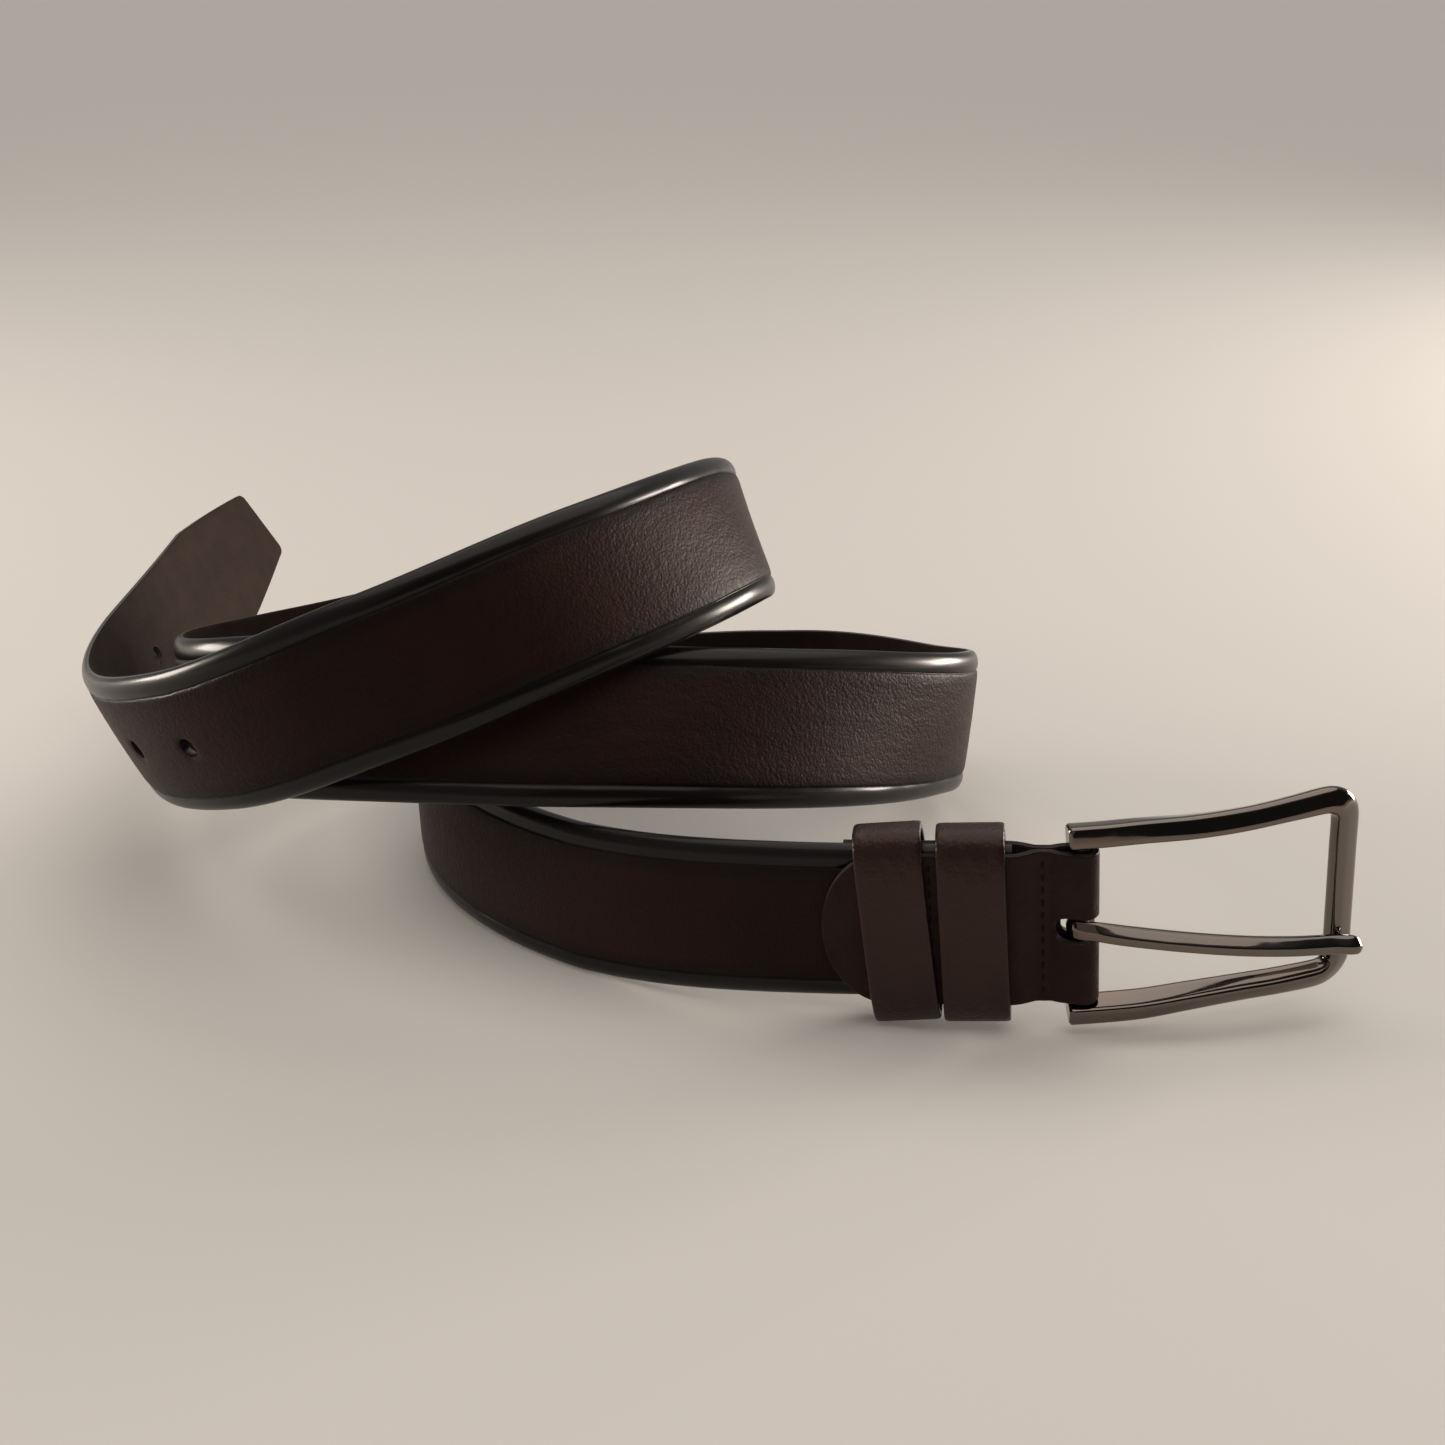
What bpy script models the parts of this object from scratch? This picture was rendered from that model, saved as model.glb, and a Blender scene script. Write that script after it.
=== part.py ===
"""A leather dress belt lying coiled on its edge: strap, folded end, keepers, buckle and thread.

Units are metres in the scene and millimetres in the constants below. +Z is up and the floor is z = 0.
The strap is described by its own coordinates: s runs along it from the fold at the buckle to the tip,
v runs across it (upwards) and n runs through it, out of the grained face.
"""

import math

import bmesh
import bpy
from mathutils import Matrix, Vector

MM = 0.001
CLEAR = 0.3  # between leather layers that touch

# Strap section
WIDTH = 35.0
HALF = WIDTH / 2
PANEL_HALF = 12.7  # raised panel
BACK = -1.7  # lining's free face
LINING = 0.9
FILLER = 0.7
FILLER_HALF = 12.0
FACE = 1.3
PANEL_TOP = BACK + LINING + FILLER + FACE + 2 * CLEAR
STRAP_START = 16.5
LENGTH = 1165.0
TIP_TAPER = 43.0  # length of the tapered tip
TIP_HALF = 10.1
SECOND_CUT = 22.5  # the strap's second cross section, clear of the stitch holes
STEP = 8.0  # between the cross sections after it

# Holes for the prong
HOLES = 5
FIRST_HOLE = 980.0
HOLE_PITCH = 25.0
HOLE_RADIUS = 2.4

# Lay of the coil. It starts at the fold, runs to -X along the front, and turns inwards.
START = (85.8, -102.5)
START_HEADING = 8
START_HEIGHT = 25.7
START_LEAN = 4
LEGS = (
    # length, turn in degrees, then height of the strap's middle and its lean at the leg's end
    (60, 4, 21.4, 2),  # front, under the keepers
    (50, 20, 17.5, 0),  # comes down to the floor
    (70, 49, 17.5, 0),  # first bend, on the left
    (60, 71, 17.5, 0),
    (70, 37, 17.8, 4),  # back, on the floor
    (40, 51, 21.0, 4),  # second bend, on the right, climbing
    (40, 57, 32.5, 3),
    (50, 33, 45.5, -21),
    (60, 24, 54.0, -33),  # middle front, lying on the first turn
    (60, 29, 53.0, -17),
    (40, 50, 43.0, 8),  # third bend, on the left, dipping
    (40, 51, 34.5, 18),
    (50, 29, 34.5, 25),  # middle back, outside the first turn
    (50, 34, 50.5, 2),
    (50, 66, 69.5, -4),  # fourth bend, on the right, the highest
    (40, 33, 82.5, -32),
    (50, 37, 82.5, -23),
    (50, 32, 68.5, -6),  # top front, sloping down over the other turns
    (50, 43, 48.5, 17),
    (50, 31, 35.5, 23),  # fifth bend, on the left
    (40, 21, 34.5, 18),
    (95, 7, 45.0, 31),  # tip, running free to the back
)

# Chape: the leather folded round the heel bar, with a leaf on each face of the strap
CHAPE = 1.3
CHAPE_HALF = 17.2
PINCH = 10.6  # stitch row between the bar and the strap's end
FRONT_LEAF_END = 54.5
BACK_LEAF_END = 50.0
LEAF_ROUND = 13.0
SLOT_HALF = 2.9
SLOT_START = -3.5  # past the fold, so the slot is open round it
SLOT_END = 8.6

# Keepers
KEEPER_WIDTH = 13.4
KEEPER_HALF_HEIGHT = 22.1
KEEPER_HALF_DEPTH = 6.8
KEEPER = 1.8
FIXED_AT = 24.2
FREE_AT = 39.4
FREE_TILT = 4.0
STAPLE_HALF = 2.6

# Buckle
BAR_AT = 3.0
BAR_RADIUS = 1.5
FRAME_SWING = 8.0  # from the strap's own line, toe to the back
FRAME_BAR = 5.0
FRAME_LENGTH = 58.2
HEEL_PAST_BAR = 2.2
HEEL_HEIGHT = 45.4
TOE_HEIGHT = 45.4
TOE_CORNER = 7.0
FRAME_CURVE = 165.0  # radius the frame is bowed to
PRONG_WIDTH = 4.0
PRONG_TIP = 57.3
PRONG_DROOP = 12.7

THREAD = 0.4
THREAD_HOLE = 0.75
STITCHES = 8
STITCH_PITCH = 4.0
SECOND_ROW = 32.8


# ---------------------------------------------------------------- the strap's route


def stations():
    at, heading, height, lean = [0.0], [START_HEADING], [START_HEIGHT], [START_LEAN]
    for length, turn, up, tilt in LEGS:
        at.append(at[-1] + length)
        heading.append(heading[-1] + turn)
        height.append(up)
        lean.append(tilt)
    return at, (heading, height, lean)


def slopes(at, values):
    step = [b - a for a, b in zip(at, at[1:])]
    rise = [(b - a) / h for a, b, h in zip(values, values[1:], step)]
    inner = [
        (h1 * r0 + h0 * r1) / (h0 + h1)
        for h0, h1, r0, r1 in zip(step, step[1:], rise, rise[1:])
    ]
    return [rise[0]] + inner + [rise[-1]]


def smooth(at, values, slope, s):
    i = next((i for i in range(len(at) - 2) if s < at[i + 1]), len(at) - 2)
    h = at[i + 1] - at[i]
    t = (s - at[i]) / h
    return (
        values[i] * (2 * t**3 - 3 * t**2 + 1)
        + slope[i] * h * (t**3 - 2 * t**2 + t)
        + values[i + 1] * (3 * t**2 - 2 * t**3)
        + slope[i + 1] * h * (t**3 - t**2)
    )


def lay_route():
    """A frame (point, along, across, out) for every millimetre of the strap, in millimetres."""
    at, tracks = stations()
    slope = [slopes(at, track) for track in tracks]

    def read(s):
        heading, height, lean = (
            smooth(at, track, k, s) for track, k in zip(tracks, slope)
        )
        return math.radians(heading), max(height, HALF), math.radians(lean)

    frames = []
    x, y = START
    for s in range(int(LENGTH) + 1):
        heading, height, lean = read(s)
        _, before, _ = read(max(s - 0.5, 0))
        middle, after, _ = read(s + 0.5)
        climb = (after - before) / (0.5 + min(s, 0.5))
        level = math.sqrt(1 - climb * climb)
        along = Vector(
            (-math.cos(heading) * level, math.sin(heading) * level, climb)
        )
        upright = (Vector((0, 0, 1)) - climb * along).normalized()
        across = Matrix.Rotation(-lean, 3, along) @ upright
        frames.append((Vector((x, y, height)), along, across, across.cross(along)))
        level = math.sqrt(1 - (read(s + 1)[1] - height) ** 2)
        x -= math.cos(middle) * level
        y += math.sin(middle) * level
    return frames


ROUTE = lay_route()


def frame_at(s):
    if s <= 0:
        point, along, across, out = ROUTE[0]
        return point + s * along, along, across, out
    i = min(int(s), len(ROUTE) - 2)
    t = s - i
    mixed = [a.lerp(b, t) for a, b in zip(ROUTE[i], ROUTE[i + 1])]
    return [mixed[0]] + [axis.normalized() for axis in mixed[1:]]


def strap_point(s, v, n):
    point, _, across, out = frame_at(s)
    return (point + v * across + n * out) * MM


def strap_matrix(s):
    """Local X along the strap, Y out of its face, Z across it."""
    point, along, across, out = frame_at(s)
    turn = Matrix((along, out, across)).transposed()
    return Matrix.Translation(point * MM) @ turn.to_4x4()


# ---------------------------------------------------------------- building


def clear_scene():
    for item in list(bpy.data.objects):
        bpy.data.objects.remove(item, do_unlink=True)


def new_collection(name, hidden=False):
    made = bpy.data.collections.new(name)
    bpy.context.scene.collection.children.link(made)
    made.hide_render = hidden
    return made


def new_material(name, colour, roughness, metallic=0.0):
    made = bpy.data.materials.new(name)
    made.use_nodes = True
    shader = made.node_tree.nodes["Principled BSDF"]
    shader.inputs["Base Color"].default_value = (*colour, 1)
    shader.inputs["Roughness"].default_value = roughness
    shader.inputs["Metallic"].default_value = metallic
    return made


def finish_shape(name, shape, collection, material=None, place=None):
    bmesh.ops.recalc_face_normals(shape, faces=shape.faces)
    mesh = bpy.data.meshes.new(name)
    shape.to_mesh(mesh)
    shape.free()
    made = bpy.data.objects.new(name, mesh)
    if material:
        mesh.materials.append(material)
    if place is not None:
        made.matrix_world = place
    collection.objects.link(made)
    return made


def loft(name, rings, collection, material=None, place=None):
    """A closed body through a row of cross sections, with a cap at each end."""
    shape = bmesh.new()
    loops = [[shape.verts.new(point) for point in ring] for ring in rings]
    count = len(loops[0])
    for one, two in zip(loops, loops[1:]):
        for i in range(count):
            j = (i + 1) % count
            shape.faces.new((one[i], one[j], two[j], two[i]))
    shape.faces.new(loops[0][::-1])
    shape.faces.new(loops[-1])
    return finish_shape(name, shape, collection, material, place)


def as_cutter(item):
    item.hide_render = True
    item.display_type = "WIRE"
    return item


def cut(item, cutter):
    step = item.modifiers.new("cut " + cutter.name, "BOOLEAN")
    step.operation = "DIFFERENCE"
    step.solver = "EXACT"
    step.object = cutter


def split_evenly(item):
    """Joins points that all but coincide, and splits the flat faces round the holes into good triangles."""
    step = item.modifiers.new("join", "WELD")
    step.merge_threshold = 0.00002
    step = item.modifiers.new("split", "TRIANGULATE")
    step.quad_method = "BEAUTY"
    step.ngon_method = "BEAUTY"


def circle(radius, sides):
    return [
        (
            radius * math.cos(2 * math.pi * i / sides),
            radius * math.sin(2 * math.pi * i / sides),
        )
        for i in range(sides)
    ]


def pins(name, collection, places, radius, low, high, sides):
    """One cutter holding a straight round pin along local Y at each (matrix, x, z)."""
    shape = bmesh.new()
    for place, at_x, at_z in places:
        ends = [
            [
                shape.verts.new(place @ (Vector((at_x + x, y, at_z + z)) * MM))
                for x, z in circle(radius, sides)
            ]
            for y in (low, high)
        ]
        for i in range(sides):
            j = (i + 1) % sides
            shape.faces.new((ends[0][i], ends[0][j], ends[1][j], ends[1][i]))
        shape.faces.new(ends[0][::-1])
        shape.faces.new(ends[1])
    return as_cutter(finish_shape(name, shape, collection))


def drills(name, collection, places, radius, low, high, sides=12):
    """Pins straight through the strap at each (s, v)."""
    spots = [(strap_matrix(s), 0, v) for s, v in places]
    return pins(name, collection, spots, radius, low, high, sides)


def tube(name, points, radius, collection, material, place=None):
    """A round wire along straight legs, with closed ends."""
    curve = bpy.data.curves.new(name, "CURVE")
    curve.dimensions = "3D"
    curve.bevel_depth = radius * MM
    curve.bevel_resolution = 1
    curve.use_fill_caps = True
    line = curve.splines.new("POLY")
    line.points.add(len(points) - 1)
    for target, point in zip(line.points, points):
        target.co = (*point, 1)
    curve.materials.append(material)
    made = bpy.data.objects.new(name, curve)
    if place is not None:
        made.matrix_world = place
    collection.objects.link(made)
    return made


# ---------------------------------------------------------------- strap


def tip_inset(s):
    """How far each edge has drawn in at s."""
    along = s - (LENGTH - TIP_TAPER)
    if along <= 0:
        return 0.0
    inset = (HALF - TIP_HALF) * (along / TIP_TAPER) ** 1.12
    last = 2.0 - (LENGTH - s)
    if last > 0:
        inset += 2.6 * (1 - math.sqrt(max(1 - (last / 2.0) ** 2, 0)))
    return inset


def strap_cuts():
    """The cross sections that every layer of the strap shares, closer together at the tip."""
    found = [SECOND_CUT + STEP * i for i in range(int((LENGTH - SECOND_CUT) / STEP))]
    found = [STRAP_START] + [s for s in found if s < LENGTH - TIP_TAPER - 3]
    return found + [LENGTH - back for back in (TIP_TAPER, 39, 34, 27, 19, 11, 5, 2, 1.2, 0.6, 0.2, 0)]


def strap_layer(name, profile, cuts, collection, material):
    """Every layer is split along the same diagonals, so that layers keep their distance where the strap twists."""
    shape = bmesh.new()
    loops = []
    for s in cuts:
        drawn = tip_inset(s)
        loops.append(
            [
                shape.verts.new(
                    strap_point(s, math.copysign(max(abs(v) - drawn, 0.08 * abs(v)), v), n)
                )
                for v, n in profile
            ]
        )
    count = len(profile)
    for one, two in zip(loops, loops[1:]):
        for i in range(count):
            j = (i + 1) % count
            if profile[i][0] > profile[j][0]:
                triangles = (one[i], one[j], two[j]), (one[i], two[j], two[i])
            else:
                triangles = (one[i], one[j], two[i]), (one[j], two[j], two[i])
            for triangle in triangles:
                shape.faces.new(triangle)
    shape.faces.new(loops[0][::-1])
    shape.faces.new(loops[-1])
    return finish_shape(name, shape, collection, material)


def both_sides(half_profile, middle):
    """Mirrors a list of (v, n) that runs from the edge inwards, with a point on the centre line."""
    return half_profile + [(0, middle)] + [(-v, n) for v, n in reversed(half_profile)]


def build_strap(parts, cutters, looks):
    floor = BACK + LINING + CLEAR
    step_top = floor + FILLER + CLEAR
    outer = both_sides(
        [
            (HALF, floor),
            (HALF, floor + 0.8),
            (16.6, 0.9),
            (15.0, 1.4),
            (13.2, 1.6),
            (PANEL_HALF, PANEL_TOP),
        ],
        PANEL_TOP,
    )
    inner = both_sides([(FILLER_HALF + 1.0, floor), (FILLER_HALF + 0.4, step_top)], step_top)
    cuts = strap_cuts()
    face = strap_layer("strap_face", outer + inner[::-1], cuts, parts, looks["grain"])
    filler = strap_layer(
        "strap_filler",
        both_sides([(FILLER_HALF, floor)], floor)
        + both_sides([(FILLER_HALF, floor + FILLER)], floor + FILLER)[::-1],
        cuts[1:-6],
        parts,
        looks["filler"],
    )
    lining = strap_layer(
        "strap_lining",
        [(HALF - 0.1, BACK), (-HALF + 0.1, BACK)]
        + both_sides([(HALF - 0.1, BACK + LINING), (FILLER_HALF, BACK + LINING)], BACK + LINING)[::-1],
        cuts,
        parts,
        looks["lining"],
    )
    holes = drills(
        "hole_punch",
        cutters,
        [(FIRST_HOLE + HOLE_PITCH * i, 0) for i in range(HOLES)],
        HOLE_RADIUS,
        -6,
        6,
    )
    for layer in (face, filler, lining):
        cut(layer, holes)
    return face, filler, lining


# ---------------------------------------------------------------- chape and its thread


def chape_line():
    """Middle line of the chape's leather in (s, n), from the back leaf's end to the front leaf's end."""
    near = CLEAR / 2 + CHAPE / 2
    turn = BAR_RADIUS + CLEAR + CHAPE / 2 + 0.25
    back = BACK - CLEAR - CHAPE / 2
    front = PANEL_TOP + CLEAR + CHAPE / 2
    line = [(BACK_LEAF_END, back), (34, back), (24, back), (16.4, back)]
    line += [(14, (back - near) / 2 - 0.1), (12.1, -near), (9.1, -near)]
    line.append((7.2, -1.6))
    for step in range(9):
        angle = math.radians(-115 - 130 * step / 8)
        line.append((BAR_AT + turn * math.cos(angle), turn * math.sin(angle)))
    line.append((7.2, 1.6))
    line += [(9.1, near), (12.1, near), (14, (front + near) / 2 + 0.1)]
    line += [(16.4, front), (24, front), (32, front)]
    line += [(FRONT_LEAF_END - back, front) for back in (13, 10, 7, 4.5, 2.5, 1, 0.3, 0)]
    return line


def leaf_half(s, n):
    """Half width of the chape: the front leaf ends in a wide round."""
    left = FRONT_LEAF_END - s
    if n < 0 or left >= LEAF_ROUND:
        return CHAPE_HALF
    bulge = math.sqrt(max(1 - ((LEAF_ROUND - left) / LEAF_ROUND) ** 2, 0))
    return 5.0 + (CHAPE_HALF - 5.0) * bulge


def build_chape(parts, cutters, looks):
    line = chape_line()
    rings = []
    for i, (s, n) in enumerate(line):
        before, after = line[max(i - 1, 0)], line[min(i + 1, len(line) - 1)]
        run = Vector((after[0] - before[0], after[1] - before[1])).normalized()
        side = Vector((-run.y, run.x)) * CHAPE / 2
        half = leaf_half(s, n)
        rings.append(
            [
                strap_point(s + k * side.x, v, n + k * side.y)
                for k, v in ((1, half), (1, -half), (-1, -half), (-1, half))
            ]
        )
    chape = loft("chape", rings, parts, looks["chape"])
    slot = []
    for depth in (-7, 7):
        ring = []
        for first, centre in ((90, SLOT_START), (-90, SLOT_END - SLOT_HALF)):
            for step in range(7):
                angle = math.radians(first + 180 * step / 6)
                at = centre + SLOT_HALF * math.cos(angle)
                ring.append(strap_point(at, SLOT_HALF * math.sin(angle), depth))
        slot.append(ring)
    cut(chape, as_cutter(loft("prong_slot", slot, cutters)))
    return chape


def stitch_places(s):
    first = -STITCH_PITCH * (STITCHES - 1) / 2
    return [(s, first + STITCH_PITCH * i) for i in range(STITCHES)]


def stitch_row(name, s, low, high, parts, looks):
    """Thread that dips through each hole in turn, so it shows as dashes on both sides."""
    reach = THREAD + CLEAR
    levels = (low - reach, high + reach)
    points = []
    front = True
    places = stitch_places(s)
    points.append(strap_point(s, places[0][1], low + 0.2))
    for _, v in places:
        points.append(strap_point(s, v, levels[front]))
        if v != places[-1][1]:
            points.append(strap_point(s, v + STITCH_PITCH, levels[front]))
        front = not front
    tail = points[-1]
    points[-1] = strap_point(s, places[-1][1], high - 0.2 if front else low + 0.2)
    if (tail - points[-2]).length > 1e-6:
        points.insert(-1, tail)
    return tube(name, points, THREAD, parts, looks["thread"])


# ---------------------------------------------------------------- keepers


def keeper_line():
    """Middle of the keeper's band in (v, n), open by a butt joint at the middle of its back."""
    high = KEEPER_HALF_HEIGHT - KEEPER / 2
    deep = KEEPER_HALF_DEPTH - KEEPER / 2
    line = []
    count = 36
    gap = 0.9  # degrees each side of the joint
    for step in range(count + 1):
        angle = math.radians(-90 + gap + (360 - 2 * gap) * step / count)
        c, s = math.cos(angle), math.sin(angle)
        v = high * math.copysign(abs(c) ** 0.52, c)
        n = deep * math.copysign(abs(s) ** 0.7, s)
        line.append((v, n))
    return line


def build_keeper(name, s, tilt, parts, looks):
    line = keeper_line()
    half = KEEPER_WIDTH / 2
    rings = []
    for i, (v, n) in enumerate(line):
        before, after = line[max(i - 1, 0)], line[min(i + 1, len(line) - 1)]
        run = Vector((after[0] - before[0], after[1] - before[1])).normalized()
        out = Vector((run.y, -run.x)) * KEEPER / 2
        ring = []
        for a, k in (
            (-half, -1), (half, -1), (half, 0.3), (half - 1, 1), (-half + 1, 1), (-half, 0.3),
        ):
            ring.append(Vector((a, n + k * out.y, v + k * out.x)) * MM)
        rings.append(ring)
    place = strap_matrix(s) @ Matrix.Rotation(math.radians(tilt), 4, "Y")
    band = loft(name, rings, parts, looks["keeper"], place=place)
    deep = -KEEPER_HALF_DEPTH - CLEAR - THREAD
    leg = STAPLE_HALF
    staple = tube(
        name + "_staple",
        [
            Vector((0, deep + 2.2, -leg)) * MM,
            Vector((0, deep, -leg)) * MM,
            Vector((0, deep, leg)) * MM,
            Vector((0, deep + 2.2, leg)) * MM,
        ],
        THREAD,
        parts,
        looks["staple"],
        place,
    )
    return band, staple, place


def keeper_drills(name, place, collection):
    """Pins for the two legs of a keeper's staple."""
    deep = -KEEPER_HALF_DEPTH
    spots = [(place, 0, side * STAPLE_HALF) for side in (-1, 1)]
    return pins(name, collection, spots, THREAD_HOLE, deep - 2, deep + 4, 8)


# ---------------------------------------------------------------- buckle


def buckle_matrix():
    """Local X from the heel bar to the toe, Y to the back, Z along the bar. The origin is on the bar."""
    point, along, across, out = frame_at(BAR_AT)
    turn = Matrix((-along, -out, across)).transposed().to_4x4()
    swing = Matrix.Rotation(math.radians(FRAME_SWING), 4, "Z")
    return Matrix.Translation(point * MM) @ turn @ swing


def bow(x):
    """How far the frame has bent to the back at x."""
    return x * x / (2 * FRAME_CURVE) if x > 0 else 0.0


def frame_line():
    """Middle of the frame's bar in (x, z), from the upper heel end round the toe to the lower one."""
    half = FRAME_BAR / 2
    heel = HEEL_HEIGHT / 2 - half
    toe = TOE_HEIGHT / 2 - half
    end = FRAME_LENGTH - HEEL_PAST_BAR - half
    corner = TOE_CORNER - half
    line = [(-HEEL_PAST_BAR, heel), (3.5, heel), (12, heel), (22, heel - 0.5), (32, toe - 0.6)]
    line.append((42, toe - 0.2))
    for step in range(6):
        angle = math.radians(90 - 18 * step)
        line.append(
            (
                end - corner + corner * math.cos(angle),
                toe - corner + corner * math.sin(angle),
            )
        )
    line += [(end, toe - corner - 6), (end, 4)]
    return line + [(x, -z) for x, z in reversed(line)]


def build_frame(parts, cutters, looks, place):
    line = frame_line()
    half = FRAME_BAR / 2
    chamfer = 0.8
    square = []
    for a, b in ((1, 1), (-1, 1), (-1, -1), (1, -1)):
        one, two = (a * half, b * (half - chamfer)), (a * (half - chamfer), b * half)
        square += [one, two] if a * b > 0 else [two, one]
    rings = []
    for i, (x, z) in enumerate(line):
        before, after = line[max(i - 1, 0)], line[min(i + 1, len(line) - 1)]
        run = Vector((after[0] - before[0], after[1] - before[1])).normalized()
        side = Vector((-run.y, run.x))
        rings.append(
            [
                Vector((x + p * side.x, q, z + p * side.y)) * MM
                for p, q in square
            ]
        )
    for ring in rings:
        for point in ring:
            point.y += bow(point.x / MM) * MM
    frame = loft("buckle_frame", rings, parts, looks["metal"], place=place)
    reach = HEEL_HEIGHT / 2 - 1.2
    socket = loft(
        "bar_socket",
        [
            [Vector((x, y, z)) * MM for x, y in circle(BAR_RADIUS + 0.2, 16)]
            for z in (-reach, reach)
        ],
        cutters,
        place=place,
    )
    cut(frame, as_cutter(socket))
    reach -= CLEAR
    loft(
        "heel_bar",
        [
            [Vector((x, y, z)) * MM for x, y in circle(BAR_RADIUS, 16)]
            for z in (-reach, reach)
        ],
        parts,
        looks["steel"],
        place=place,
    )
    return frame


def prong_line():
    """Middle line and thickness of the prong in (x, y, thickness), y to the back, from its curled end."""
    turn = BAR_RADIUS + 0.35 + 0.65
    line = []
    for step in range(10):
        angle = math.radians(25 + 225 * step / 9)
        line.append((turn * math.cos(angle), turn * math.sin(angle), 1.3))
    line[-1] = (-0.4, -turn - 0.1, 1.5)
    line += [(1.6, -turn - 0.5, 2.2), (4.5, -3.2, 2.9), (9, -3.3, 3.2)]
    line += [(20, -2.9, 3.3), (32, -1.6, 3.3), (42, 0.5, 3.2), (48, 2.3, 3.1), (51.5, 3.3, 3.0)]
    line += [(PRONG_TIP - back, 4.6 - 0.3 * back, 2.9 - 0.3 * (2 - back)) for back in (2, 1, 0.3)]
    line.append((PRONG_TIP, 4.7, 1.4))
    return line


def build_prong(parts, looks, place):
    rings = []
    line = prong_line()
    fall = math.tan(math.radians(PRONG_DROOP))
    for i, (x, y, thick) in enumerate(line):
        before, after = line[max(i - 1, 0)], line[min(i + 1, len(line) - 1)]
        run = Vector((after[0] - before[0], after[1] - before[1])).normalized()
        out = Vector((run.y, -run.x))
        wide = PRONG_WIDTH / 2
        left = PRONG_TIP - x
        if i > 12 and left < 2:
            wide *= 0.55 + 0.45 * math.sqrt(max(1 - ((2 - left) / 2) ** 2, 0))
        drop = fall * max(x - 2.0, 0) if i > 8 else 0.0
        peak = 0.5 if i > 10 else 0.42
        ring = []
        for p, z in (
            (-0.5, -0.8), (-0.5, 0.8), (-0.2, 1), (0.05, 1), (peak, 0.2), (peak, -0.2), (0.05, -1), (-0.2, -1),
        ):
            ring.append(
                Vector((x + p * thick * out.x, y + p * thick * out.y, z * wide - drop)) * MM
            )
        rings.append(ring)
    return loft("prong", rings, parts, looks["metal_prong"], place=place)


# ---------------------------------------------------------------- the whole belt


def build():
    clear_scene()
    parts = new_collection("leather_belt")
    cutters = new_collection("cutters", hidden=True)
    looks = {
        "grain": new_material("leather_grain", (0.035, 0.023, 0.020), 0.42),
        "filler": new_material("bonded_filler", (0.16, 0.11, 0.08), 0.85),
        "lining": new_material("leather_lining", (0.055, 0.036, 0.029), 0.75),
        "chape": new_material("leather_chape", (0.026, 0.017, 0.015), 0.55),
        "keeper": new_material("leather_keeper", (0.040, 0.026, 0.022), 0.38),
        "metal": new_material("polished_nickel", (0.50, 0.47, 0.45), 0.12, 1.0),
        "metal_prong": new_material("polished_prong", (0.50, 0.47, 0.45), 0.12, 1.0),
        "steel": new_material("bar_steel", (0.45, 0.44, 0.43), 0.35, 1.0),
        "thread": new_material("waxed_thread", (0.030, 0.020, 0.018), 0.6),
        "staple": new_material("staple_steel", (0.50, 0.49, 0.48), 0.3, 1.0),
    }
    strap = build_strap(parts, cutters, looks)
    chape = build_chape(parts, cutters, looks)
    pinch_holes = drills("pinch_drill", cutters, stitch_places(PINCH), THREAD_HOLE, -4, 4, 8)
    cut(chape, pinch_holes)
    row_holes = drills("row_drill", cutters, stitch_places(SECOND_ROW), THREAD_HOLE, -6, 6, 8)
    for item in strap + (chape,):
        cut(item, row_holes)
        split_evenly(item)
    leaf = CLEAR / 2 + CHAPE
    stitch_row("bar_stitches", PINCH, -leaf, leaf, parts, looks)
    stitch_row(
        "leaf_stitches",
        SECOND_ROW,
        BACK - CLEAR - CHAPE,
        PANEL_TOP + CLEAR + CHAPE,
        parts,
        looks,
    )
    for name, s, tilt in (
        ("fixed_keeper", FIXED_AT, 1.0),
        ("free_keeper", FREE_AT, FREE_TILT),
    ):
        band, _, place = build_keeper(name, s, tilt, parts, looks)
        cut(band, keeper_drills(name + "_drill", place, cutters))
    place = buckle_matrix()
    build_frame(parts, cutters, looks, place)
    build_prong(parts, looks, place)


build()
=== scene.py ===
"""Looks of a leather dress belt that lies coiled on its edge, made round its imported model.

Sizes are in millimetres and points are turned into metres as they go into a mesh. The strap has its own
coordinates: s runs along it from the fold at the buckle to the tip, v runs across it (upwards) and n runs
through it, out of the grained face. Every leather skin is a grid of (s, v, n) with an opening where a
hole or a slot goes, and carries those coordinates as the attribute "lay" for its material.
"""

import math

import bmesh
import bpy
import numpy as np
from bpy.props import FloatProperty, FloatVectorProperty, IntProperty, PointerProperty
from mathutils import Matrix, Vector


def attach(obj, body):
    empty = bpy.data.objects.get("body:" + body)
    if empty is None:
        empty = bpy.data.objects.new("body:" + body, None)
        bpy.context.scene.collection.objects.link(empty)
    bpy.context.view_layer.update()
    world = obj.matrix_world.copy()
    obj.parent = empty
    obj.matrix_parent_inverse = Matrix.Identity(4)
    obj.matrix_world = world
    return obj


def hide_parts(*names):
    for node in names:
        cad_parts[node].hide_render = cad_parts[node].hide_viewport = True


bl_info = {
    "name": "Coiled dress belt",
    "version": (1, 0, 0),
    "blender": (4, 5, 0),
    "location": "3D View > Sidebar > Belt",
    "description": "Makes the leather, thread and polished metal of a coiled dress belt",
    "category": "Add Mesh",
}

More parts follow.
